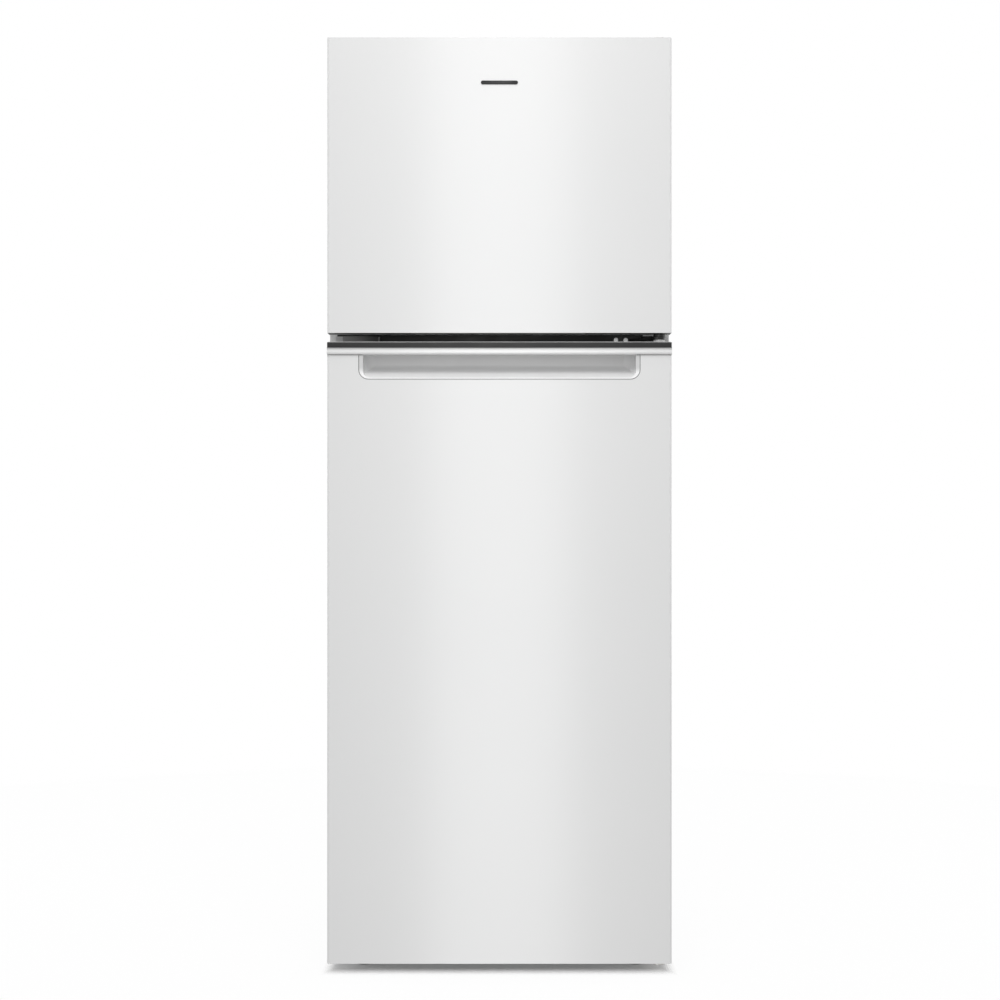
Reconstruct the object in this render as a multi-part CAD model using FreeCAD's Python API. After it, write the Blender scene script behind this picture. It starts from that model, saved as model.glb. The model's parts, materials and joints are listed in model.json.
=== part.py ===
"""Top freezer refrigerator, about 60 cm wide, with two doors hinged on the right.

The frame: +Z up, the doors face -Y, and the origin is on the floor under the middle of the whole box.
The cabinet is a steel wrapper, two plastic liners and the foam between them. A stepped pan under
the back holds the compressor. Each door is a steel skin, a plastic liner, foam, two end caps, a gasket
and bins. All sizes are in millimetres.
"""

import FreeCAD, Part
import math
import os

V = FreeCAD.Vector
os.makedirs("parts", exist_ok=True)

# ---- driving dimensions -------------------------------------------------------------------------
# Outside
body_width = 595.0
freezer_door_height = 510.0
fridge_door_height = 1073.0
door_gap = 16.0
floor_gap = 21.0
door_depth = 52.0
gasket_depth = 11.0
cabinet_depth = 590.0
base_height = 30.0
hinge_play = 1.0

# Walls of the cabinet, foam included
side_wall = 52.0
top_wall = 62.0
rear_wall = 65.0
mullion_height = 80.0
floor_wall = 60.0
step_wall = 50.0
machine_height = 205.0
machine_depth = 205.0

# Sheet and moulded thicknesses
sheet = 0.8
pan_sheet = 1.5
liner = 2.0
moulding = 2.4
plate = 3.0

# Doors
skin_corner = 4.0
cap_height = 12.0
top_cap_strip = 9.0
dyke_depth = 40.0
dyke_width = 22.0
dyke_clearance = 12.0
well_depth = 20.0
gasket_inset = 24.0
gasket_width = 14.0
gasket_mullion_inset = 14.0
bin_reach = 85.0
freezer_bin_reach = 75.0
bin_lift = 14.0
bin_corner = 16.0
bin_side_gap = 3.0
bin_ledge = 5.0
lower_bin_height = 130.0
middle_bin_height = 96.0
middle_bin_share = 0.57
upper_bin_height = 84.0
upper_bin_drop = 236.0
freezer_bin_height = 78.0
freezer_upper_bin_drop = 181.0

# Handle in the top of the lower door
trim_proud = 6.0
trim_height = 12.5
trim_thickness = 10.0
trim_shadow_gap = 1.0
pocket_width = 485.0
pocket_drop = 41.0
pocket_corner = 16.0
pocket_depth = 34.0
pocket_lip = 7.0
pocket_seam = 0.6
pocket_slope = 16.0
pocket_end_bend = 20.0
grip_width = 300.0
grip_depth = 24.0
grip_height = 24.0

# Hinges
hinge_inset = 20.0
hinge_setback = 25.0
pin_radius = 4.0
running_clearance = 0.05
pin_length = 15.0
boss_radius = 9.0
arm_thickness = 4.0
shoulder_radius = 7.0
shoulder_play = 0.5
hinge_flange_length = 88.0
hinge_flange_edge = 11.0
hinge_cover_height = 13.0
hinge_plate_length = 60.0
screw_radius = 3.8
screw_head = 2.2
shank_radius = 1.8
screw_shank = 9.0
gland_radius = 8.0
gland_flange = 2.0
gland_inset = 30.0
gland_height = 60.0

# Inside the cabinet
liner_flange = 8.0
liner_corner = 16.0
ledge_reach = 7.0
ledge_height = 8.0
shelf_gap = 10.0
shelf_side_gap = 2.0
shelf_thickness = 9.0
shelf_trim_height = 16.0
shelf_border = 16.0
shelf_stop = 2.0
glass_thickness = 4.0
glass_bite = 8.0
lower_shelf_height = 235.0
upper_shelf_height = 455.0
freezer_shelf_height = 205.0
wire_radius = 2.0
rack_rod_radius = 3.0
evaporator_room = 82.0
duct_width = 150.0
duct_depth = 22.0
control_width = 260.0
control_depth = 130.0
control_height = 44.0
control_setback = 16.0
lamp_width = 100.0
lamp_depth = 60.0
lamp_middle = -30.0
lamp_setback = 42.0
knob_radius = 18.0
knob_length = 13.0
knob_offset = 70.0
crisper_side_gap = 10.0
crisper_floor_gap = 4.0
crisper_wall = 2.4
crisper_draft = 7.0
slide_clearance = 0.3
slider_travel = 40.0
slider_width = 22.0

# Running gear
leg_inset = 57.5
leg_setback = 40.0
foot_radius = 15.0
foot_height = 9.0
leg_hex = 9.0
stud_radius = 4.0
stud_length = 26.0
roller_radius = 14.0
roller_width = 15.0
roller_inset = 42.0
roller_setback = 60.0
axle_radius = 2.5
ear_gap = 1.5

# Machine compartment and fans
compressor_radius = 62.0
compressor_height = 138.0
compressor_inset = 140.0
grommet_height = 11.0
foot_spread_x = 150.0
foot_spread_y = 96.0
tube_radius = 2.5
condenser_pitch = 24.0
condenser_rows = 6
fan_radius = 46.0
fan_hub_radius = 15.0
fan_width = 18.0
fan_blades = 5
evaporator_fan_drop = 46.0
evaporator_fan_setback = 8.0
condenser_fan_x = -30.0
condenser_fan_lift = 40.0
blade_thickness = 1.6
blade_chord = 25.0
blade_pitch = 28.0
motor_radius = 22.0
motor_length = 24.0
shaft_radius = 2.0
fin_count = 22

# ---- derived places -----------------------------------------------------------------------------
half_width = body_width / 2
overall_depth = trim_proud + door_depth + gasket_depth + cabinet_depth + screw_head
trim_front = -overall_depth / 2
door_front = trim_front + trim_proud
door_back = door_front + door_depth
cab_front = door_back + gasket_depth
cab_back = cab_front + cabinet_depth

fridge_door_bottom = floor_gap
fridge_door_top = fridge_door_bottom + fridge_door_height
freezer_door_bottom = fridge_door_top + door_gap
freezer_door_top = freezer_door_bottom + freezer_door_height
mullion_mid = fridge_door_top + door_gap / 2
cab_bottom = base_height
cab_top = freezer_door_top + hinge_play
pan_top = cab_bottom + pan_sheet

cavity_x = half_width - side_wall
cavity_back = cab_back - rear_wall
freezer_floor = mullion_mid + mullion_height / 2
freezer_ceiling = cab_top - top_wall
fridge_ceiling = mullion_mid - mullion_height / 2
fridge_floor = cab_bottom + floor_wall
machine_top = cab_bottom + machine_height
machine_front = cab_back - machine_depth
step_top = machine_top + step_wall
step_front = machine_front - step_wall
flange_x = cavity_x + liner_flange

hinge_x = half_width - hinge_inset
hinge_y = door_front + hinge_setback
dyke_x = cavity_x - dyke_clearance
dyke_back = door_back + dyke_depth
well_floor = door_back - well_depth
well_x = dyke_x - dyke_width

shelf_front = cab_front + bin_reach + shelf_gap
shelf_back = cavity_back - duct_depth - 4.0
crisper_cover_z = step_top + 2.0
lower_shelf_z = crisper_cover_z + lower_shelf_height
upper_shelf_z = crisper_cover_z + upper_shelf_height
shelf_levels = (crisper_cover_z, lower_shelf_z, upper_shelf_z)
freezer_shelf_z = freezer_floor + freezer_shelf_height
evaporator_front = cavity_back - evaporator_room
freezer_shelf_front = cab_front + freezer_bin_reach + shelf_gap
control_front = shelf_front + control_setback
evaporator_fan_z = freezer_ceiling - fan_radius - evaporator_fan_drop
evaporator_fan_y = evaporator_front + liner + evaporator_fan_setback
condenser_fan_z = (pan_top + machine_top) / 2 + condenser_fan_lift
condenser_fan_y = machine_front + 60.0

trim_back = trim_front + trim_thickness
trim_top = fridge_door_top - top_cap_strip
trim_bottom = trim_top - trim_height
panel_top = trim_bottom - trim_shadow_gap
pocket_bottom = panel_top - pocket_drop
pocket_back = door_front + pocket_depth
pocket_ceiling = trim_top - 2.0

reach = 40.0  # how far a cutting tool runs past the part that it cuts

# ---- shape helpers ------------------------------------------------------------------------------
PLANES = {
    "x": lambda u, v, w: V(w, u, v),
    "y": lambda u, v, w: V(u, w, v),
    "z": lambda u, v, w: V(u, v, w),
}


def box(x0, x1, y0, y1, z0, z1):
    return Part.makeBox(x1 - x0, y1 - y0, z1 - z0, V(x0, y0, z0))


def rod(axis, u, v, w0, w1, radius):
    """A cylinder along axis, centred at (u, v) in the plane across it."""
    at = PLANES[axis]
    return Part.makeCylinder(radius, w1 - w0, at(u, v, w0), at(0, 0, 1))


def outline(axis, corners, w):
    """A closed wire through corners (u, v, radius), in the plane at w along axis."""
    at = PLANES[axis]
    points = [V(u, v, 0) for u, v, _ in corners]
    ends = []
    for i, (_, _, radius) in enumerate(corners):
        here = points[i]
        back = (points[i - 1] - here).normalize()
        ahead = (points[(i + 1) % len(points)] - here).normalize()
        half = math.acos(max(-1.0, min(1.0, back.dot(ahead)))) / 2
        run = radius / math.tan(half)
        middle = here + (back + ahead).normalize() * (radius / math.sin(half) - radius)
        ends.append((here + back * run, middle, here + ahead * run, radius))
    edges = []
    for i, (start, middle, end, radius) in enumerate(ends):
        if radius > 0:
            a, b, c = (at(p.x, p.y, w) for p in (start, middle, end))
            edges.append(Part.Arc(a, b, c).toShape())
        following = ends[(i + 1) % len(ends)][0]
        if (following - end).Length > 1e-6:
            edges.append(Part.LineSegment(at(end.x, end.y, w), at(following.x, following.y, w)).toShape())
    return Part.Wire(edges)


def prism(axis, corners, w0, w1):
    at = PLANES[axis]
    return Part.Face(outline(axis, corners, w0)).extrude(at(0, 0, w1) - at(0, 0, w0))


def rectangle(u0, u1, v0, v1, radius):
    return [(u0, v0, radius), (u1, v0, radius), (u1, v1, radius), (u0, v1, radius)]


def rounded(axis, u0, u1, v0, v1, w0, w1, radius):
    """A block whose four edges along axis are rounded."""
    return prism(axis, rectangle(u0, u1, v0, v1, radius), w0, w1)


def tapered(bottom, top, z0, z1, radius):
    """A block between two rectangles (x0, x1, y0, y1), rounded at its upright edges."""
    wires = [outline("z", rectangle(*r, radius), z) for r, z in ((bottom, z0), (top, z1))]
    return Part.makeLoft(wires, True, True)


def fuse(*shapes):
    shapes = flat(shapes)
    joined = shapes[0].multiFuse(shapes[1:]) if len(shapes) > 1 else shapes[0]
    return joined.removeSplitter()


def cut(shape, *tools):
    return shape.cut(Part.makeCompound(flat(tools)))


def flat(items):
    found = []
    for item in items:
        found += flat(item) if isinstance(item, (list, tuple)) else [item]
    return found


def mirrored(shape):
    """A shape with its mirror image across the middle of the refrigerator."""
    return [shape, shape.mirror(V(0, 0, 0), V(1, 0, 0))]


def edges_on(shape, axis, value):
    """The edges that lie wholly in the plane where the coordinate axis is value."""
    low, high = axis + "Min", axis + "Max"
    return [
        e
        for e in shape.Edges
        if abs(getattr(e.BoundBox, low) - value) < 1e-3 and abs(getattr(e.BoundBox, high) - value) < 1e-3
    ]


def softened(shape, radius, *planes):
    """The shape with every edge in the given (axis, value) planes rounded."""
    edges = flat([edges_on(shape, axis, value) for axis, value in planes])
    return shape.makeFillet(radius, edges)


def pipe(points, radius, bend):
    """A round bar along straight runs that are joined by arcs of radius bend."""
    points = [V(*p) for p in points]
    edges, start = [], points[0]
    for before, here, after in zip(points, points[1:], points[2:]):
        back, ahead = (before - here).normalize(), (after - here).normalize()
        half = math.acos(back.dot(ahead)) / 2
        run = bend / math.tan(half)
        a, c = here + back * run, here + ahead * run
        b = here + (back + ahead).normalize() * (bend / math.sin(half) - bend)
        edges += [Part.LineSegment(start, a).toShape(), Part.Arc(a, b, c).toShape()]
        start = c
    edges.append(Part.LineSegment(start, points[-1]).toShape())
    profile = Part.Wire([Part.makeCircle(radius, points[0], points[1] - points[0])])
    return Part.Wire(edges).makePipeShell([profile], True, True)


def slots(axis, u_centres, v_centres, length, height, w0, w1):
    """Round-ended slots, long in u, cut through from w0 to w1."""
    r = height / 2 - 0.05
    return [
        rounded(axis, u - length / 2, u + length / 2, v - height / 2, v + height / 2, w0, w1, r)
        for u in u_centres
        for v in v_centres
    ]


def spread(count, pitch, middle=0.0):
    """Evenly spaced centres about a middle."""
    return [middle + (i - (count - 1) / 2) * pitch for i in range(count)]


def screw(axis, u, v, seat, way, shank):
    """A pan-head screw whose head sits on seat and whose shank runs the other way to way."""
    head_end = seat + way * screw_head
    head = rod(axis, u, v, min(seat, head_end), max(seat, head_end), screw_radius)
    tip = seat - way * shank
    slot = screw_radius * 1.3
    recess = 1.0
    at = PLANES[axis]
    cross = []
    for wide, tall in ((slot, recess), (recess, slot)):
        low = head_end - way * recess * 1.2
        corner = at(u - wide / 2, v - tall / 2, min(low, head_end + way))
        size = at(wide, tall, abs(head_end + way - low))
        cross.append(Part.makeBox(size.x, size.y, size.z, corner))
    return fuse(cut(head, cross), rod(axis, u, v, min(seat, tip), max(seat, tip), shank_radius))


# ---- screw places, used by the screws and by the holes that they go through ----------------------
hinge_plate_back = cab_front + hinge_plate_length
top_screws = [
    (hinge_x - 58.0, cab_front + 18.0),
    (hinge_x - 28.0, cab_front + 44.0),
    (hinge_x, cab_front + 18.0),
]
middle_screws = [hinge_x - 73.0, hinge_x - 56.0]
bottom_screws = [(hinge_x - 12.0, cab_front + 20.0), (hinge_x + 6.0, cab_front + 42.0)]
cover_screw_x = half_width - 8.0
cover_screw_z = (cab_bottom + 25.0, machine_top - 25.0)
cover_screws = [(x, z) for x in (-cover_screw_x, cover_screw_x) for z in cover_screw_z]


def screw_holes(depth):
    """Round holes for the shanks of all the screws."""
    r = shank_radius
    holes = [rod("z", x, y, cab_top - depth, cab_top + plate, r) for x, y in top_screws]
    holes += [rod("y", x, mullion_mid, cab_front - plate, cab_front + depth, r) for x in middle_screws]
    holes += [rod("z", x, y, cab_bottom - plate, cab_bottom + depth, r) for x, y in bottom_screws]
    holes += [rod("y", x, z, cab_back - depth, cab_back, r) for x, z in cover_screws]
    return holes


holes = screw_holes(screw_shank)


# ---- cavities -----------------------------------------------------------------------------------
def freezer_room(grow):
    """The freezer compartment, with its walls moved out by grow."""
    room = rounded(
        "y", -cavity_x - grow, cavity_x + grow, freezer_floor - grow, freezer_ceiling + grow,
        cab_front - reach, cavity_back + grow, liner_corner + grow,
    )
    return softened(room, liner_corner + grow - liner, ("Y", cavity_back + grow))


def fridge_room(grow):
    """The fresh food compartment, with the step over the machine compartment."""
    r = liner_corner + grow
    hollow_r = liner_corner - grow
    side = [
        (cab_front - reach, fridge_floor - grow, 0),
        (step_front + grow, fridge_floor - grow, r),
        (step_front + grow, step_top - grow, hollow_r),
        (cavity_back + grow, step_top - grow, r),
        (cavity_back + grow, fridge_ceiling + grow, r),
        (cab_front - reach, fridge_ceiling + grow, 0),
    ]
    along = prism("x", side, -cavity_x - grow, cavity_x + grow)
    across = rounded(
        "y", -cavity_x - grow, cavity_x + grow, fridge_floor - grow, fridge_ceiling + grow,
        cab_front - reach, cavity_back + grow, r,
    )
    return along.common(across)


def trimmed_to_front(shape):
    """The part of a room that lies behind the front of the cabinet."""
    ahead = box(-half_width, half_width, cab_front - 2 * reach, cab_front, 0, cab_top + reach)
    return cut(shape, ahead)


freezer_hollow = freezer_room(0)
fridge_hollow = fridge_room(0)
freezer_envelope = trimmed_to_front(freezer_room(liner))
fridge_envelope = trimmed_to_front(fridge_room(liner))


def air_passage():
    """The way for cold air from the freezer down to the duct behind the fresh food compartment."""
    width = duct_width - 50.0
    front, back = cavity_back - duct_depth + 4.0, cavity_back - 4.0
    return box(-width / 2, width / 2, front, back, fridge_ceiling - liner - 1, freezer_floor + liner + 1)


passage = air_passage()


# ---- cabinet ------------------------------------------------------------------------------------
def cabinet_wrapper():
    """One folded sheet over the top and both sides, with flanges at the front and the back."""
    corner = 5.0
    low = cab_bottom - reach
    outer = rounded("y", -half_width, half_width, low, cab_top, cab_front, cab_back - sheet, corner)
    inner = rounded(
        "y", -half_width + sheet, half_width - sheet, low, cab_top - sheet,
        cab_front + sheet, cab_back - 2 * sheet, corner - sheet,
    )
    window_top = freezer_ceiling + liner_flange
    front_window = box(-flange_x, flange_x, cab_front - 1, cab_front + 1 + sheet, low, window_top)
    rear_flange = 14.0
    rear_x = half_width - rear_flange
    rear_window = box(-rear_x, rear_x, cab_back - reach, cab_back, low, cab_top - rear_flange)
    below = box(-half_width - 1, half_width + 1, cab_front - 1, cab_back + 1, low - 1, cab_bottom)
    return cut(outer, inner, front_window, rear_window, below, holes)


def rear_panel():
    edge = 3.0
    return rounded(
        "y", -half_width + edge, half_width - edge, machine_top, cab_top - edge,
        cab_back - sheet, cab_back, 2.0,
    )


def base_pan():
    """Floor of the cabinet, pressed up at the front and stepped over the machine compartment."""
    wide = half_width - sheet
    back = cab_back - 2 * sheet
    floor = box(-wide, wide, cab_front + pan_sheet, back, cab_bottom, pan_top)
    lip_top = fridge_floor - liner_flange
    front = box(-flange_x, flange_x, cab_front, cab_front + pan_sheet, cab_bottom, lip_top)
    wall = box(-wide, wide, machine_front, machine_front + sheet, cab_bottom, machine_top)
    roof = box(-wide, wide, machine_front, back, machine_top - sheet, machine_top)
    ears = []
    ear_x = half_width - roller_inset
    for side in (-1, 1):
        x0 = ear_x + side * (roller_width / 2 + ear_gap) - pan_sheet / 2
        y0 = cab_back - roller_setback
        ears.append(prism("x", ear_outline(y0), x0, x0 + pan_sheet))
    pan = fuse(floor, front, wall, roof, [mirrored(e) for e in ears])
    axle = [rod("x", cab_back - roller_setback, roller_radius, -half_width, half_width, axle_radius)]
    stud_hole = stud_radius + running_clearance
    studs = mirrored(rod("z", leg_x(1), leg_y(), cab_bottom - 1, pan_top + 1, stud_hole))
    bolts = [rod("z", x, y, cab_bottom - 1, pan_top + 1, shank_radius) for x, y in compressor_feet()]
    return cut(pan, axle, studs, bolts, holes)


def ear_outline(y0):
    low = roller_radius - axle_radius - 3.0
    half_low, half_high = 8.0, 14.0
    return [
        (y0 - half_low, low, 3.0),
        (y0 + half_low, low, 3.0),
        (y0 + half_high, cab_bottom + 0.5, 0),
        (y0 - half_high, cab_bottom + 0.5, 0),
    ]


def leg_x(side):
    return side * (half_width - leg_inset)


def leg_y():
    return cab_front + leg_setback


def compressor_feet():
    x0, y0 = compressor_centre()
    return [
        (x0 + i * foot_spread_x / 2, y0 + j * foot_spread_y / 2) for i in (-1, 1) for j in (-1, 1)
    ]


def compressor_centre():
    return half_width - compressor_inset, cab_back - machine_depth / 2


def cabinet_foam():
    """Foam that fills everything between the wrapper, the pan, the back and the liners."""
    wide = half_width - sheet
    block = rounded(
        "y", -wide, wide, cab_bottom - reach, cab_top - sheet, cab_front + sheet, cab_back - 2 * sheet, 4.2
    )
    machine = box(-half_width, half_width, machine_front, cab_back, 0, machine_top)
    below = box(-half_width, half_width, cab_front, cab_back, -reach, pan_top)
    front = box(-flange_x, flange_x, cab_front, cab_front + pan_sheet, 0, fridge_floor - liner_flange)
    flanges = [freezer_flange(), fridge_flange()]
    studs = mirrored(rod("z", leg_x(1), leg_y(), pan_top - 1, pan_top + stud_length + 4, stud_radius + 2))
    rooms = [freezer_envelope, fridge_envelope, passage]
    return cut(block, machine, below, front, rooms, flanges, studs, holes)


def freezer_flange():
    return rounded(
        "y", -flange_x, flange_x, freezer_floor - liner_flange, freezer_ceiling + liner_flange,
        cab_front, cab_front + liner, 2.0,
    )


def fridge_flange():
    return rounded(
        "y", -flange_x, flange_x, fridge_floor - liner_flange, fridge_ceiling + liner_flange,
        cab_front, cab_front + liner, 2.0,
    )


def ledges(z, y0, y1):
    """A moulded ledge on both side walls, whose flat top at z carries a shelf."""
    x0 = cavity_x + liner / 2
    profile = [
        (x0, z - ledge_height - 4.0, 0),
        (cavity_x - ledge_reach, z - ledge_height + 4.0, 1.5),
        (cavity_x - ledge_reach, z, 1.0),
        (x0, z, 0),
    ]
    return mirrored(prism("y", profile, y0, y1))


def freezer_liner():
    shell = fuse(freezer_envelope, freezer_flange())
    shell = cut(shell, freezer_hollow)
    racks = ledges(freezer_shelf_z, freezer_shelf_front, evaporator_front - 20.0)
    return cut(fuse(shell, racks), passage, holes)


def fridge_liner():
    shell = fuse(fridge_envelope, fridge_flange())
    shell = cut(shell, fridge_hollow)
    y0, y1 = shelf_front - 20.0, shelf_back
    spare_pitch = (upper_shelf_z - lower_shelf_z) / 2
    spares = (lower_shelf_z - spare_pitch, lower_shelf_z + spare_pitch, upper_shelf_z + spare_pitch)
    levels = [*shelf_levels, *spares]
    racks = [rack.common(fridge_envelope) for rack in flat([ledges(z, y0, y1) for z in levels])]
    return cut(fuse(shell, racks), passage, holes)


def mullion_bar():
    """The steel strip across the front, between the two liners."""
    low = fridge_ceiling + liner_flange
    high = freezer_floor - liner_flange
    return cut(box(-flange_x, flange_x, cab_front, cab_front + sheet, low, high), holes)


def rear_cover():
    """The slotted sheet that closes the machine compartment."""
    edge = 3.0
    play = 1.0
    panel = rounded(
        "y", -half_width + edge, half_width - edge, cab_bottom + play, machine_top - play,
        cab_back - sheet, cab_back, 4.0,
    )
    middle = (cab_bottom + machine_top) / 2
    columns, rows = spread(5, 96.0), spread(9, 14.0, middle)
    vents = slots("y", columns, rows, 72.0, 5.0, cab_back - 1 - sheet, cab_back + 1)
    gland = rod("y", *gland_place(), cab_back - 1 - sheet, cab_back + 1, gland_radius)
    return cut(panel, vents, gland, holes)


def gland_place():
    return -half_width + gland_inset, cab_bottom + gland_height


def cord_gland():
    """The rubber grommet that a supply cord passes through."""
    x, z = gland_place()
    bore = 3.8
    waist = rod("y", x, z, cab_back - sheet - gland_flange, cab_back + gland_flange, gland_radius)
    rims = [
        rod("y", x, z, cab_back, cab_back + gland_flange, gland_radius + 3.0),
        rod("y", x, z, cab_back - sheet - gland_flange, cab_back - sheet, gland_radius + 3.0),
    ]
    return cut(fuse(waist, rims), rod("y", x, z, cab_back - reach, cab_back + reach, bore))


# ---- hinges and running gear --------------------------------------------------------------------
def top_hinge():
    """Flat plate on the cabinet, with an arm out to the pin that enters the upper door."""
    wide = hinge_plate_length + 6.0
    x1 = hinge_x + 12.0
    outline_points = [
        (x1 - wide, hinge_plate_back, 6.0),
        (x1 - wide, cab_front + 6.0, 8.0),
        (hinge_x - 13.0, hinge_y - 2.0, 12.0),
        (hinge_x - 10.0, hinge_y - 9.0, 8.0),
        (hinge_x + 10.0, hinge_y - 9.0, 8.0),
        (x1, hinge_y + 6.0, 4.0),
        (x1, hinge_plate_back, 6.0),
    ]
    flat_plate = prism("z", outline_points, cab_top, cab_top + plate)
    pin = rod("z", hinge_x, hinge_y, cab_top - pin_length, cab_top + plate, pin_radius)
    return fuse(cut(flat_plate, holes), pin)


def middle_hinge():
    """Angle screwed to the front of the cabinet in the gap, with a pin up and a pin down."""
    low = mullion_mid - door_gap / 2 + 1.0
    high = mullion_mid + door_gap / 2 - 1.0
    x1 = hinge_x + hinge_flange_edge - 2.0
    flange = rounded("y", x1 - hinge_flange_length, x1, low, high, cab_front - plate, cab_front, 3.0)
    arm = prism(
        "z",
        [
            (hinge_x - 50.0, cab_front - plate, 0),
            (hinge_x - 12.0, hinge_y, 20.0),
            (hinge_x - 10.0, hinge_y - 11.0, 9.0),
            (hinge_x + 10.0, hinge_y - 11.0, 9.0),
            (x1, cab_front - plate, 0),
        ],
        mullion_mid - arm_thickness / 2,
        mullion_mid + arm_thickness / 2,
    )
    shoulder = door_gap / 2 - shoulder_play
    stub = door_gap / 2 + pin_length
    pins = [
        rod("z", hinge_x, hinge_y, mullion_mid - shoulder, mullion_mid + shoulder, shoulder_radius),
        rod("z", hinge_x, hinge_y, mullion_mid - stub, mullion_mid + stub, pin_radius),
    ]
    gusset_x = hinge_x - 30.0
    gusset = prism(
        "x",
        [
            (cab_front - 2.0, low + 1.0, 0),
            (cab_front - 2.0, high - 1.0, 0),
            (hinge_y + 18.0, mullion_mid, 0),
        ],
        gusset_x,
        gusset_x + plate,
    )
    return cut(fuse(flange, arm, pins, gusset), holes)


def bottom_hinge():
    """Joggled bracket under the pan, with a pin up into the lower door."""
    arm_top = fridge_door_bottom - 2.0
    arm_low = arm_top - plate
    x0, x1 = hinge_x - 24.0, hinge_x + 13.0
    bend = cab_front + 2.0
    arm = prism(
        "z",
        [
            (x0, bend, 0),
            (hinge_x - 12.0, hinge_y, 10.0),
            (hinge_x - 9.0, hinge_y - 11.0, 8.0),
            (hinge_x + 9.0, hinge_y - 11.0, 8.0),
            (x1, bend, 0),
        ],
        arm_low,
        arm_top,
    )
    riser = box(x0, x1, bend - plate, bend, arm_low, cab_bottom)
    foot = box(x0, x1, bend - plate, cab_front + 55.0, cab_bottom - plate, cab_bottom)
    pins = [
        rod("z", hinge_x, hinge_y, arm_low, fridge_door_bottom + 1.0 - shoulder_play, shoulder_radius),
        rod("z", hinge_x, hinge_y, arm_low, fridge_door_bottom + 1.0 + pin_length, pin_radius),
    ]
    return cut(fuse(arm, riser, foot, pins), holes)


def top_hinge_cover():
    """The moulded lid over the top hinge, open at the front where the arm comes out."""
    x0, x1 = hinge_x - 66.0, half_width - 2.0
    y0, y1 = cab_front - 5.0, hinge_plate_back + 8.0
    top = cab_top + hinge_cover_height
    side = [
        (y0, cab_top, 0),
        (y0, top - 4.0, 2.0),
        (y0 + 22.0, top, 14.0),
        (y1, top, 4.0),
        (y1, cab_top, 0),
    ]
    lid = prism("x", side, x0, x1)
    wall = moulding
    hollow = box(x0 + wall, x1 - wall, y0 + wall, y1 - wall, cab_top - 1, top - 4.0 - wall)
    slot_x = (hinge_x - 48.0, hinge_x + 13.0)
    arm_slot = box(*slot_x, y0 - 1, y0 + wall + 1, cab_top - 1, cab_top + plate + 1.0)
    head_top = cab_top + plate + screw_head + 0.5
    heads = [rod("z", x, y, cab_top, head_top, screw_radius + 1) for x, y in top_screws]
    return cut(lid, hollow, arm_slot, heads)


def hinge_screws():
    """All the pan-head screws that hold the hinges and the rear cover."""
    through = plate + screw_shank - 1
    found = [screw("z", x, y, cab_top + plate, 1, through) for x, y in top_screws]
    found += [screw("y", x, mullion_mid, cab_front - plate, -1, through) for x in middle_screws]
    found += [screw("z", x, y, cab_bottom - plate, -1, through) for x, y in bottom_screws]
    found += [screw("y", x, z, cab_back, 1, screw_shank - 1) for x, z in cover_screws]
    return Part.makeCompound(found)


def hinge_hole_plugs():
    """Snap-in plugs over the left-hand hinge holes, which are used when the doors are reversed."""
    depth = 1.2
    plugs = [
        rod("z", -x, y, cab_top, cab_top + depth, screw_radius + 1.5) for x, y in top_screws
    ]
    x0 = -(hinge_x + hinge_flange_edge - 2.0)
    block = rounded(
        "y", x0, x0 + 26.0, mullion_mid - 6.0, mullion_mid + 6.0,
        cab_front - gasket_depth + 2.0, cab_front, 2.0,
    )
    return Part.makeCompound(plugs + [block])


def leveling_leg(side):
    """Round foot, hexagon for a spanner and a stud that screws up through the pan."""
    x, y = leg_x(side), leg_y()
    foot = softened(rod("z", x, y, 0, foot_height, foot_radius), 2.0, ("Z", foot_height))
    turns = [math.radians(60 * i) for i in range(6)]
    corners = [(x + leg_hex * math.cos(a), y + leg_hex * math.sin(a), 0) for a in turns]
    hexagon = prism("z", corners, foot_height, cab_bottom)
    stud = rod("z", x, y, foot_height, pan_top + stud_length, stud_radius)
    return fuse(foot, hexagon, stud)


def rear_roller(side):
    x, y = side * (half_width - roller_inset), cab_back - roller_setback
    x0, x1 = x - roller_width / 2 + slide_clearance, x + roller_width / 2 - slide_clearance
    wheel = softened(rod("x", y, roller_radius, x0, x1, roller_radius), 1.5, ("X", x0), ("X", x1))
    groove = 2.0
    hollow = roller_radius - 4.0
    rings = [
        cut(rod("x", y, roller_radius, a, b, hollow), rod("x", y, roller_radius, a, b, axle_radius + 3.0))
        for a, b in ((x0 - 1, x0 + groove), (x1 - groove, x1 + 1))
    ]
    return cut(wheel, rings, rod("x", y, roller_radius, x0 - 1, x1 + 1, axle_radius + running_clearance))


def roller_axles():
    y = cab_back - roller_setback
    reach_out = roller_width / 2 + ear_gap + pan_sheet / 2
    x = half_width - roller_inset
    bar = rod("x", y, roller_radius, x - reach_out, x + reach_out, axle_radius)
    ends = (x - reach_out - 1.2, x + reach_out)
    heads = [rod("x", y, roller_radius, a, a + 1.2, axle_radius + 1.5) for a in ends]
    return Part.makeCompound(mirrored(fuse(bar, heads)))


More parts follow.
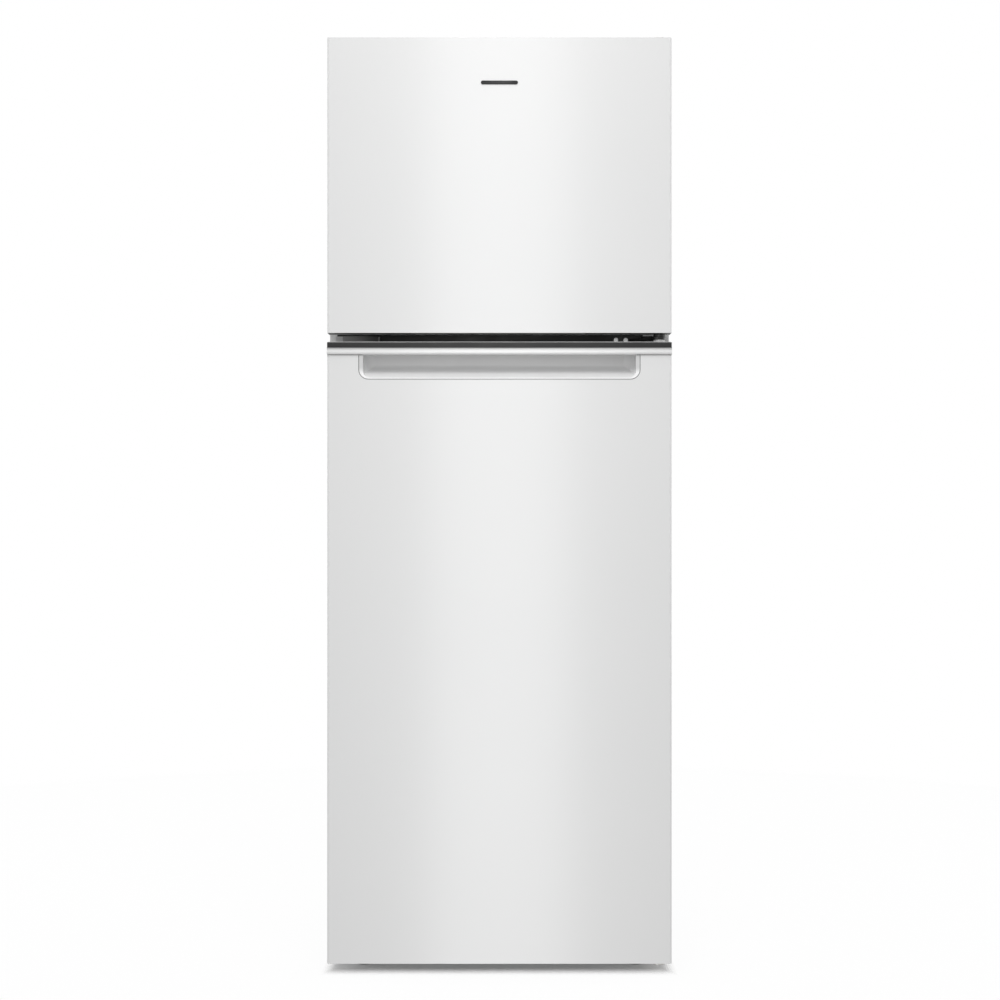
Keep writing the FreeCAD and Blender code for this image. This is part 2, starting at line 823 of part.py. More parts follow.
# ---- machine compartment ------------------------------------------------------------------------
def compressor():
    """Hermetic shell on a pressed foot plate, with its relay box and three pipe stubs."""
    x, y = compressor_centre()
    foot_z = pan_top + grommet_height
    r, low = compressor_radius, foot_z + plate
    high = low + compressor_height
    shell = Part.makeCylinder(r, compressor_height, V(x, y, low))
    shell = softened(shell, r * 0.55, ("Z", high))
    shell = softened(shell, r * 0.3, ("Z", low))
    seam = rod("z", x, y, low + compressor_height * 0.45, low + compressor_height * 0.45 + 4.0, r + 2.5)
    wide, deep = foot_spread_x / 2 + 12.0, foot_spread_y / 2 + 12.0
    foot = rounded("z", x - wide, x + wide, y - deep, y + deep, foot_z, low + r * 0.3, 12.0)
    trim = rounded("z", x - wide - 1, x + wide + 1, y - deep - 1, y + deep + 1, low, low + r, 12.0)
    foot = cut(foot, trim)
    neck = rod("z", x, y, foot_z, low + 6.0, r * 0.8)
    relay = rounded("y", x - 26.0, x + 26.0, low + 38.0, low + 92.0, y + r * 0.75, y + r + 14.0, 6.0)
    stubs = [
        rod("z", x - r * 0.25, y - r * 0.3, high - 6.0, high + 14.0, 4.0),
        rod("z", x + r * 0.3, y + r * 0.1, high - 8.0, high + 12.0, 3.2),
    ]
    bolts = [rod("z", a, b, foot_z - 1, low + 1, shank_radius + 2.0) for a, b in compressor_feet()]
    return cut(fuse(shell, seam, foot, neck, relay, stubs), bolts)


def compressor_grommets():
    """Four rubber feet with their bolts' sleeves moulded in."""
    found = []
    for x, y in compressor_feet():
        ring = rod("z", x, y, pan_top, pan_top + grommet_height, 9.0)
        collar = rod("z", x, y, pan_top, pan_top + grommet_height + plate, shank_radius + 2.0)
        cap = rod("z", x, y, pan_top + grommet_height + plate, pan_top + grommet_height + plate + 3.0, 7.0)
        found.append(cut(fuse(ring, collar, cap), rod("z", x, y, 0, machine_top, shank_radius)))
    return Part.makeCompound(found)


def condenser():
    """Wire-on-tube condenser in one piece with its liquid line and the filter drier."""
    x0, x1 = -half_width + 28.0, -half_width + 28.0 + 190.0
    y = cab_back - 32.0
    z0 = pan_top + 26.0
    points = []
    for i in range(condenser_rows):
        z = z0 + i * condenser_pitch
        points += [(x0, y, z), (x1, y, z)] if i % 2 else [(x1, y, z), (x0, y, z)]
    bend = condenser_pitch * 0.49
    coil = pipe(points, tube_radius, bend)
    high = z0 + (condenser_rows - 1) * condenser_pitch
    wires = [
        rod("z", x, y + side * (tube_radius + 0.4), z0 - 8.0, high + 8.0, 0.8)
        for x in spread(15, 11.0, (x0 + x1) / 2)
        for side in (-1, 1)
    ]
    foot_x = (x0 + 30.0, x1 - 30.0)
    feet = [box(x - 6.0, x + 6.0, y - 1.0, y + 1.0, pan_top, z0) for x in foot_x]
    feet += [box(x - 6.0, x + 6.0, y - 12.0, y + 12.0, pan_top, pan_top + 1.5) for x in foot_x]
    drier_y = y - 26.0
    last = points[-1]
    far_x = last[0] + 16.0
    turn = [last, (far_x, y, last[2]), (far_x, drier_y, last[2]), (last[0] - 20.0, drier_y, last[2])]
    line = pipe(turn, tube_radius, 8.0)
    drier = rod("x", drier_y, last[2], last[0] - 110.0, last[0] - 18.0, 8.0)
    outlet = rod("x", drier_y, last[2], last[0] - 150.0, last[0] - 100.0, 1.2)
    return fuse(coil, wires, line, drier, outlet, feet)


def drain_pan():
    """Tray on the compressor's left that catches defrost water."""
    x1 = compressor_centre()[0] - foot_spread_x / 2 - 16.0
    x0 = x1 - 110.0
    y0, y1 = machine_front + sheet + 6.0, machine_front + sheet + 96.0
    z0, z1 = pan_top, pan_top + 34.0
    outer = tapered((x0 + 6, x1 - 6, y0 + 6, y1 - 6), (x0, x1, y0, y1), z0, z1, 8.0)
    w = moulding
    inner_floor = (x0 + 6 + w, x1 - 6 - w, y0 + 6 + w, y1 - 6 - w)
    inner_rim = (x0 + w, x1 - w, y0 + w, y1 - w)
    return cut(outer, tapered(inner_floor, inner_rim, z0 + w, z1 + w, 6.0))


# ---- fans ---------------------------------------------------------------------------------------
def fan(x, z, y0):
    """Axial fan that turns about a line along Y, with its hub bored for the motor shaft."""
    y1 = y0 + fan_width
    hub = softened(rod("y", x, z, y0, y1, fan_hub_radius), 2.0, ("Y", y0))
    middle = V(x, (y0 + y1) / 2, z)
    swept = cut(rod("y", x, z, y0, y1, fan_radius), rod("y", x, z, y0 - 1, y1 + 1, fan_hub_radius - 1.0))
    blades = []
    for i in range(fan_blades):
        chord, thick = blade_chord / 2, blade_thickness / 2
        blade = box(fan_hub_radius * 0.5, fan_radius + 4, -thick, thick, -chord, chord)
        blade.rotate(V(0, 0, 0), V(1, 0, 0), blade_pitch)
        blade.rotate(V(0, 0, 0), V(0, 1, 0), 360.0 * i / fan_blades)
        blade.translate(middle)
        blades.append(blade.common(swept))
    bore = rod("y", x, z, y0 + 4.0, y1 + 1, shaft_radius + running_clearance)
    return cut(fuse(hub, blades), bore)


def fan_motor(x, z, shaft_tip, mount_back):
    """Round motor behind a fan, on a cross-shaped bracket that reaches the wall behind it."""
    face = shaft_tip + fan_width - 2.0
    case = softened(rod("y", x, z, face, face + motor_length, motor_radius), 3.0, ("Y", face))
    shaft = rod("y", x, z, shaft_tip, face + 1.0, shaft_radius)
    arm_low, arm_high = face + motor_length - 4.0, face + motor_length
    arms = [
        rounded("y", x - fan_radius, x + fan_radius, z - 5.0, z + 5.0, arm_low, arm_high, 4.0),
        rounded("y", x - 5.0, x + 5.0, z - fan_radius, z + fan_radius, arm_low, arm_high, 4.0),
    ]
    posts = [
        rod("y", x + side * (fan_radius - 6.0), z, arm_low, mount_back, 4.0) for side in (-1, 1)
    ]
    return fuse(case, shaft, arms, posts)


def condenser_fan_motor():
    """The motor's bracket reaches forwards to the compartment's front wall."""
    shape = fan_motor(condenser_fan_x, condenser_fan_z, 4.5, fan_width + motor_length + 12.0)
    shape = shape.mirror(V(0, 0, 0), V(0, 1, 0))
    front = machine_front + sheet
    shape.translate(V(0, front + fan_width + motor_length + 12.0, 0))
    return shape


def condenser_fan():
    shape = fan(condenser_fan_x, condenser_fan_z, 0.0)
    shape = shape.mirror(V(0, 0, 0), V(0, 1, 0))
    front = machine_front + sheet
    shape.translate(V(0, front + fan_width + motor_length + 12.0, 0))
    return shape


# ---- inside the freezer -------------------------------------------------------------------------
def evaporator():
    """Tube bent to and fro through a stack of thin fins."""
    half = cavity_x - 50.0
    y = cavity_back - 34.0
    rows = 6
    pitch = 24.0
    z0 = freezer_floor + 28.0
    points = []
    for i in range(rows):
        z = z0 + i * pitch
        points += [(-half, y, z), (half, y, z)] if i % 2 else [(half, y, z), (-half, y, z)]
    coil = pipe(points, 4.0, pitch * 0.49)
    low, high = z0 - 10.0, z0 + (rows - 1) * pitch + 10.0
    fin_pitch = (2 * half - 60.0) / (fin_count - 1)
    fins = [box(x - 0.4, x + 0.4, y - 22.0, y + 22.0, low, high) for x in spread(fin_count, fin_pitch)]
    end_x = half - 12.0
    ends = mirrored(box(end_x - 0.8, end_x + 0.8, y - 24.0, cavity_back, low - 4.0, high + 4.0))
    return fuse(coil, fins, ends)


def evaporator_cover():
    """The moulded wall at the back of the freezer, with outlets, a return grille and a fan guard."""
    play = 1.0
    y0, y1 = evaporator_front, evaporator_front + liner
    wall = rounded(
        "y", -cavity_x + play, cavity_x - play, freezer_floor + play, freezer_ceiling - play, y0, y1,
        liner_corner - play,
    )
    boss = rod("y", 0, evaporator_fan_z, y0 - 6.0, y1, fan_radius + 12.0)
    boss = softened(boss, 4.0, ("Y", y0 - 6.0))
    boss_hollow = rod("y", 0, evaporator_fan_z, y0 - 6.0 + liner, y1 + 1, fan_radius + 12.0 - liner)
    guard = []
    fan_z, spoke, far = evaporator_fan_z, 2.0, fan_radius + 4
    spokes = [
        box(-spoke, spoke, y0 - 10.0, y0 + 2, fan_z - far, fan_z + far),
        box(-far, far, y0 - 10.0, y0 + 2, fan_z - spoke, fan_z + spoke),
    ]
    for inner, outer in ((fan_radius * 0.4, fan_radius * 0.62), (fan_radius * 0.7, fan_radius * 0.94)):
        disc = rod("y", 0, fan_z, y0 - 8.0, y0, outer)
        guard.append(cut(disc, rod("y", 0, fan_z, y0 - 9.0, y0 + 1, inner), spokes))
    outlet_x = [side * (fan_radius + 70.0) for side in (-1, 1)]
    outlets = slots("y", outlet_x, spread(4, 13.0, evaporator_fan_z), 84.0, 6.0, y0 - 1, y1 + 1)
    returns = slots("y", spread(6, 68.0), spread(3, 12.0, freezer_floor + 32.0), 54.0, 6.0, y0 - 1, y1 + 1)
    post_x = cavity_x - 22.0
    post_heights = (freezer_floor + 60.0, evaporator_fan_z)
    posts = [mirrored(rod("y", post_x, z, y1 - 0.5, cavity_back, 6.0)) for z in post_heights]
    return cut(fuse(wall, boss, posts), boss_hollow, guard, outlets, returns)


def freezer_shelf():
    """Welded wire rack."""
    x = cavity_x - shelf_side_gap
    y0, y1 = freezer_shelf_front, evaporator_front - 12.0
    z = freezer_shelf_z + rack_rod_radius
    inset = rack_rod_radius + 0.5
    frame = [
        rod("x", y, z, -x, x, rack_rod_radius) for y in (y0 + inset, (y0 + y1) / 2, y1 - inset)
    ]
    wire_count = 21
    pitch = (2 * x - 24.0) / (wire_count - 1)
    top = z + rack_rod_radius
    wires = [rod("y", wx, top, y0, y1, wire_radius) for wx in spread(wire_count, pitch)]
    ends = [rod("y", side * (x - 3.0), z, y0, y1, rack_rod_radius) for side in (-1, 1)]
    return fuse(frame, wires, ends)


# ---- inside the fresh food compartment ----------------------------------------------------------
def air_duct():
    """Shallow channel up the back wall with outlets between the shelves."""
    x = duct_width / 2
    y0 = cavity_back - duct_depth
    z0, z1 = step_top + 60.0, fridge_ceiling
    shell = rounded("z", -x, x, y0, cavity_back + reach, z0, z1, 8.0)
    shell = cut(shell, box(-x - 1, x + 1, cavity_back, cavity_back + 2 * reach, z0 - 1, z1 + 1))
    w = moulding
    hollow = box(-x + w, x - w, y0 + w, cavity_back + 1, z0 + w, z1 + 1)
    levels = [lower_shelf_z - 60.0, lower_shelf_z + 90.0, upper_shelf_z + 60.0, fridge_ceiling - 170.0]
    vents = [slots("y", [0], spread(3, 11.0, z), 70.0, 5.0, y0 - 1, y0 + w + 1) for z in levels]
    return cut(shell, hollow, vents).common(fridge_hollow)


def shelf_pane(z):
    """The glass of one shelf, held by its edges in the frame."""
    x = cavity_x - shelf_side_gap - glass_bite
    z0 = z + (shelf_thickness - glass_thickness) / 2
    return box(-x, x, shelf_front + glass_bite, shelf_back - glass_bite, z0, z0 + glass_thickness)


def shelf_frame(z):
    """Moulded frame round a pane, with a deeper rounded trim along its front."""
    x = cavity_x - shelf_side_gap
    ring = rounded("z", -x, x, shelf_front, shelf_back, z, z + shelf_thickness, 4.0)
    b = shelf_border
    top = z + shelf_thickness
    window = rounded("z", -x + b, x - b, shelf_front + b, shelf_back - b, z - 1, top + 1, 6.0)
    low = top - shelf_trim_height
    trim_x = cavity_x - ledge_reach - 1.0
    trim = rounded("x", shelf_front, shelf_front + b * 0.6, low, top, -trim_x, trim_x, 3.0)
    stop = box(-x + 20.0, x - 20.0, shelf_back - 3.0, shelf_back, top - 1.0, top + shelf_stop)
    return cut(fuse(ring, trim, stop), window, shelf_pane(z))


def slider_slot():
    """Window in the crisper cover's trim that the humidity slider runs in."""
    x0 = slider_x() - slider_width / 4 - slide_clearance
    x1 = x0 + slider_width / 2 + slider_travel + 2 * slide_clearance
    z = slider_z()
    half = 2.0 + slide_clearance
    return box(x0, x1, shelf_front - 1, shelf_front + shelf_border + 1, z - half, z + half)


def slider_x():
    return cavity_x - 160.0


def slider_z():
    return crisper_cover_z - 1.0


def crisper_cover():
    return cut(shelf_frame(crisper_cover_z), slider_slot())


def humidity_slider():
    """Tab, neck and keeper; the neck runs in the slot of the crisper cover's trim."""
    x, z = slider_x(), slider_z()
    c = slide_clearance
    deep = shelf_border * 0.6
    half = slider_width / 2
    tab = rounded("y", x - half, x + half, z - 5.0, z + 5.0, shelf_front - 3.0, shelf_front - c, 2.0)
    ridge = box(x - 1.0, x + 1.0, shelf_front - 5.0, shelf_front - 2.0, z - 4.0, z + 4.0)
    neck = box(x - half / 2, x + half / 2, shelf_front - 1.0, shelf_front + deep + 1.0, z - 2.0, z + 2.0)
    keeper = box(x - half, x + half, shelf_front + deep + c, shelf_front + deep + 2.0, z - 4.5, z - 1.0)
    return fuse(tab, ridge, neck, keeper)


def crisper_drawer():
    """Deep moulded drawer with a rolled front lip to pull it by."""
    x = cavity_x - crisper_side_gap
    y0, y1 = shelf_front + 6.0, step_front - 8.0
    z0, z1 = fridge_floor + crisper_floor_gap, crisper_cover_z - shelf_trim_height + shelf_thickness - 6.0
    w = crisper_wall
    d = crisper_draft
    outer = tapered((-x + d, x - d, y0 + d, y1 - d), (-x, x, y0, y1), z0, z1, 14.0)
    inner_floor = (-x + d + w, x - d - w, y0 + d + w, y1 - d - w)
    inner = tapered(inner_floor, (-x + w, x - w, y0 + w, y1 - w), z0 + w, z1, 12.0)
    above = box(-x, x, y0, y1, z1 - 0.01, z1 + 1)
    tub = cut(outer, inner, above)
    lip = prism(
        "x",
        [
            (y0 - 4.0, z1 - 26.0, 1.0),
            (y0 - 1.0, z1 - 26.0, 0.5),
            (y0 + w, z1 - 6.0, 0),
            (y0 + w, z1, 0.5),
            (y0 - 4.0, z1, 2.0),
        ],
        -x * 0.55,
        x * 0.55,
    )
    runners = mirrored(box(x - 22.0, x - 16.0, y0 + 20.0, y1 - 20.0, z0 - 2.0, z0 + 0.5))
    return fuse(tub, lip, runners)


def control_housing():
    """Moulded box under the ceiling that holds the thermostat and the lamp."""
    x = control_width / 2
    y0, y1 = control_front, control_front + control_depth
    top, low = fridge_ceiling, fridge_ceiling - control_height
    side = [(y0, top, 0), (y0, low + 6.0, 5.0), (y0 + 30.0, low, 12.0), (y1, low + 8.0, 8.0), (y1, top, 0)]
    outer = prism("x", side, -x, x)
    w = moulding
    inner = prism(
        "x",
        [
            (y0 + w, top + 1, 0), (y0 + w, low + 7.0 + w, 3.0), (y0 + 31.0, low + w, 10.0),
            (y1 - w, low + 8.0 + w, 6.0), (y1 - w, top + 1, 0),
        ],
        -x + w,
        x - w,
    )
    knob_hole = rod("y", *knob_place(), y0 - 1, y0 + w + 1, pin_radius + running_clearance)
    window = lamp_block(0.0, low - 3.0, low + 14.0)
    return cut(outer, inner, knob_hole, window)


def lamp_block(shrink, z0, z1):
    """The block that fills the lamp's window in the housing, with its sides moved in by shrink."""
    x0, x1 = lamp_middle - lamp_width / 2, lamp_middle + lamp_width / 2
    y0 = control_front + lamp_setback
    y1 = y0 + lamp_depth
    s = shrink
    return rounded("z", x0 + s, x1 - s, y0 + s, y1 - s, z0, z1, 8.0 - s)


def lamp_lens():
    """Ribbed diffuser over the lamp, clipped into the control housing."""
    low = fridge_ceiling - control_height
    return cut(lamp_block(0.0, low - 3.0, low + 6.0), lamp_block(moulding, low - 3.0 + moulding, low + 7.0))


def knob_place():
    return knob_offset, fridge_ceiling - control_height / 2 + 2.0


def temperature_knob():
    """Round dial with a finger bar, on a short shaft through the housing."""
    x, z = knob_place()
    y1 = control_front - slide_clearance
    y0 = y1 - knob_length
    skirt = softened(rod("y", x, z, y1 - 6.0, y1, knob_radius), 2.0, ("Y", y1 - 6.0))
    bar = rounded("y", x - 4.0, x + 4.0, z - knob_radius + 2.0, z + knob_radius - 2.0, y0, y1 - 2.0, 3.0)
    shaft = rod("y", x, z, y1 - 1.0, control_front + moulding + 8.0, pin_radius)
    return fuse(skirt, bar, shaft)


# ---- doors --------------------------------------------------------------------------------------
class Door:
    """Where one door's parts lie; top and bottom are the door's own ends."""

    def __init__(self, bottom, top, room_bottom, room_top, gasket_bottom, gasket_top):
        self.bottom, self.top = bottom, top
        self.dyke = (room_bottom + dyke_clearance, room_top - dyke_clearance)
        self.gasket = (gasket_bottom, gasket_top)
        self.middle = (bottom + top) / 2


freezer_door = Door(
    freezer_door_bottom, freezer_door_top, freezer_floor, freezer_ceiling,
    freezer_door_bottom + gasket_mullion_inset, freezer_door_top - gasket_inset,
)
fridge_door = Door(
    fridge_door_bottom, fridge_door_top, fridge_floor, fridge_ceiling,
    fridge_door_bottom + gasket_inset, fridge_door_top - gasket_mullion_inset,
)


def door_skin(bottom, top):
    """Folded sheet: the face and the two side returns."""
    back = door_back - liner
    outer = rounded("z", -half_width, half_width, door_front, back + reach, bottom, top, skin_corner)
    inner = rounded(
        "z", -half_width + sheet, half_width - sheet, door_front + sheet, back + 2 * reach,
        bottom - 1, top + 1, skin_corner - sheet,
    )
    behind = box(-half_width - 1, half_width + 1, back, back + 3 * reach, bottom - 1, top + 1)
    return cut(outer, inner, behind)


def door_inside(bottom, top):
    """The block of space inside a door's skin, in front of its liner."""
    wide = half_width - sheet
    corner = skin_corner - sheet
    block = rounded("z", -wide, wide, door_front + sheet, door_back + reach, bottom, top, corner)
    back = door_back - liner
    behind_liner = box(-half_width, half_width, back, back + 3 * reach, bottom - 1, top + 1)
    return cut(block, behind_liner)


def dyke_ring(door, shrink, y0, y1):
    """The raised wall round a door's bins, with every face moved in by shrink."""
    z0, z1 = door.dyke
    s = shrink
    outer = rounded("y", -dyke_x + s, dyke_x - s, z0 + s, z1 - s, y0, y1 - s, liner_corner - s)
    w = dyke_width - s
    inner = rounded("y", -dyke_x + w, dyke_x - w, z0 + w, z1 - w, y0 - 1, y1 + 1, liner_corner - 6.0 + s)
    return cut(outer, inner)


def door_well(door, grow, y0, y1):
    """The recess inside the raised wall, with its sides moved out by grow."""
    z0, z1 = door.dyke
    w = dyke_width - grow
    r = liner_corner - 6.0 + grow
    return rounded("y", -dyke_x + w, dyke_x - w, z0 + w, z1 - w, y0, y1, r)


def door_liner(door, bin_levels, ledge_back):
    """Moulded inner face: rim, raised wall, recess and the ledges that carry the bins."""
    edge = 0.6
    rim = rounded(
        "y", -half_width + edge, half_width - edge, door.bottom + edge, door.top - edge,
        door_back - liner, door_back, 3.0,
    )
    z0, z1 = door.dyke
    block = rounded("y", -dyke_x, dyke_x, z0, z1, door_back - liner, dyke_back, liner_corner)
    block = softened(block, 5.0, ("Y", dyke_back))
    tray = door_well(door, liner, well_floor - liner, door_back)
    shape = cut(fuse(rim, block, tray), dyke_ring(door, liner, door_back - liner - 1, dyke_back))
    shape = cut(shape, door_well(door, 0.0, well_floor, dyke_back + 1))
    supports = []
    root, tip = well_x + 0.5, well_x - bin_ledge
    for z in bin_levels:
        profile = [(root, z - 9.0, 0), (tip, z - 4.0, 1.0), (tip, z, 1.0), (root, z, 0)]
        supports += mirrored(prism("y", profile, well_floor - 0.5, ledge_back))
    return fuse(shape, supports)


def door_foam(door, *others):
    """Foam between a door's skin and its liner, out into the raised wall too."""
    block = door_inside(door.bottom, door.top)
    tray = door_well(door, liner, well_floor - liner, door_back)
    return cut(fuse(cut(block, tray), dyke_ring(door, liner, door_back - liner - 0.5, dyke_back)), *others)


def door_gasket(door):
    z0, z1 = door.gasket
    x = half_width - gasket_inset
    w = gasket_width
    ring = rounded("y", -x, x, z0, z1, door_back, cab_front, 10.0)
    return cut(ring, rounded("y", -x + w, x - w, z0 + w, z1 - w, door_back - 1, cab_front + 1, 4.0))


def pin_socket(z0, z1):
    return rod("z", hinge_x, hinge_y, z0, z1, pin_radius + running_clearance)


def pin_boss(z0, z1):
    return rod("z", hinge_x, hinge_y, z0, z1, boss_radius)


def freezer_top_cap():
    high = freezer_door.top
    slab = door_inside(high - cap_height, high)
    boss = pin_boss(high - pin_length - 5.0, high - 1)
    return cut(fuse(slab, boss), pin_socket(high - pin_length - 1.0, high + 1))


def freezer_bottom_cap():
    """End cap with the finger grip moulded up into it."""
    low = freezer_door.bottom
    slab = door_inside(low + 1.0, low + 1.0 + cap_height)
    boss = pin_boss(low + 1.5, low + pin_length + 5.0)
    x = grip_width / 2
    y0, y1 = door_front + 9.0, door_front + 9.0 + grip_depth
    w = moulding
    housing = rounded("z", -x - w, x + w, y0 - w, y1 + w, low + 1.0, low + grip_height + w, 8.0)
    hollow = rounded("z", -x, x, y0, y1, low - 1.0, low + grip_height, 8.0 - w)
    return cut(fuse(slab, boss, housing), hollow, pin_socket(low, low + pin_length + 1.0))


def fridge_bottom_cap():
    low = fridge_door.bottom
    slab = door_inside(low + 1.0, low + 1.0 + cap_height)
    boss = pin_boss(low + 1.5, low + pin_length + 6.0)
    return cut(fuse(slab, boss), pin_socket(low, low + pin_length + 2.0))


def pocket_form(grow):
    """The hollow that the fingers go into, with its walls moved out by grow."""
    g = grow
    x = pocket_width / 2 - pocket_lip
    low = pocket_bottom + 2.0
    side = [
        (door_front - reach, low - g, 0),
        (door_front + 3.0, low - g, 2.0 + g),
        (pocket_back + g, low + pocket_slope - g, 13.0 + g),
        (pocket_back + g, pocket_ceiling + g, 6.0 + g),
        (door_front - reach, pocket_ceiling + g, 0),
    ]
    along = prism("x", side, -x - g, x + g)
    across = rounded(
        "y", -x - g, x + g, low - g, pocket_ceiling + g,
        door_front - reach, pocket_back + g, 12.0 + g,
    )
    bend = pocket_end_bend + g
    plan = [
        (-x - g, door_front - reach, 0),
        (x + g, door_front - reach, 0),
        (x + g, pocket_back + g, bend),
        (-x - g, pocket_back + g, bend),
    ]
    return along.common(across).common(prism("z", plan, low - reach, pocket_ceiling + reach))


def behind(shape, y):
    """The part of a shape that lies behind the plane at y."""
    return cut(shape, box(-half_width - 1, half_width + 1, y - 4 * reach, y, 0, cab_top))


def handle_pocket():
    """White moulded escutcheon and hollow, let into the steel face under the trim."""
    x = pocket_width / 2
    flange = prism(
        "y",
        [
            (-x, pocket_bottom, pocket_corner), (x, pocket_bottom, pocket_corner),
            (x, panel_top, 0), (-x, panel_top, 0),
        ],
        door_front,
        door_front + liner,
    )
    shell = behind(pocket_form(liner), door_front + 0.5)
    upper = box(-x - 1, x + 1, door_front - 1, trim_back + 0.5, panel_top, fridge_door_top)
    shell = cut(shell, upper)
    return cut(fuse(shell, flange), pocket_form(0.0))


def handle_trim():
    """Metal bar across the whole door; over the pocket it is the bar that the hand pulls."""
    profile = [
        (trim_back, trim_bottom, 0.6), (trim_front, trim_bottom, 4.5),
        (trim_front, trim_top, 4.5), (trim_back, trim_top, 0.6),
    ]
    return prism("x", profile, -half_width, half_width)


def fridge_top_cap():
    """Dark end cap: a strip over the trim, and behind it the block that the trim is fixed to."""
    high = fridge_door.top
    strip = prism(
        "x",
        [
            (door_front, trim_top, 0), (door_back - liner, trim_top, 0),
            (door_back - liner, high, 0.8), (door_front, high, 2.0),
        ],
        -half_width,
        half_width,
    )
    block = box(-half_width, half_width, trim_back, door_back - liner, panel_top, trim_top)
    boss = pin_boss(high - pin_length - 5.0, high - 1)
    hollow = behind(pocket_form(liner), trim_back - 0.01)
    return cut(fuse(strip, block, boss), hollow, pin_socket(high - pin_length - 1.0, high + 1))


def fridge_skin():
    """The lower door's face, with the opening for the pocket cut into its top edge."""
    x = pocket_width / 2 + pocket_seam
    low = pocket_bottom - pocket_seam
    r = pocket_corner + pocket_seam
    opening = prism(
        "y", [(-x, low, r), (x, low, r), (x, panel_top + reach, 0), (-x, panel_top + reach, 0)],
        door_front - 1, door_front + sheet + 0.01,
    )
    return cut(door_skin(fridge_door.bottom, panel_top), opening)


def door_bin(z, height, back):
    """Moulded tray that hooks between the raised walls; back is its side towards the shelves."""
    x = well_x - bin_side_gap
    y0 = well_floor + 1.0
    w = moulding

    def block(shrink, z0, z1):
        r = bin_corner - shrink
        corners = [
            (-x + shrink, y0 + shrink, 3.0), (x - shrink, y0 + shrink, 3.0),
            (x - shrink, back - shrink, r), (-x + shrink, back - shrink, r),
        ]
        return prism("z", corners, z0, z1)

    tray = softened(block(0.0, z, z + height), 3.0, ("Z", z))
    bead = block(-1.0, z + height - 7.0, z + height)
    bead = cut(bead, box(-x - 3, x + 3, y0 - 3, y0, z, z + height + 1))
    low_back = box(-x - 3, x + 3, y0 - 3, y0 + w + 1, z + height * 0.7, z + height + 1)
    return cut(fuse(tray, bead), block(w, z + w, z + height + 1), low_back)


# Each bin's foot and height. The upper ones hang from the top of the recess.
low_bin_z = fridge_door.dyke[0] + dyke_width + bin_lift
high_bin_z = fridge_door.dyke[1] - upper_bin_drop
middle_bin_z = low_bin_z + (high_bin_z - low_bin_z) * middle_bin_share
freezer_bins = {
    "freezer_door_bin_lower": (freezer_door.dyke[0] + dyke_width + bin_lift, freezer_bin_height),
    "freezer_door_bin_upper": (freezer_door.dyke[1] - freezer_upper_bin_drop, freezer_bin_height),
}
fridge_bins = {
    "fridge_door_bin_lower": (low_bin_z, lower_bin_height),
    "fridge_door_bin_middle": (middle_bin_z, middle_bin_height),
    "fridge_door_bin_upper": (high_bin_z, upper_bin_height),
}


def bin_levels(bins):
    return [z for z, _ in bins.values()]


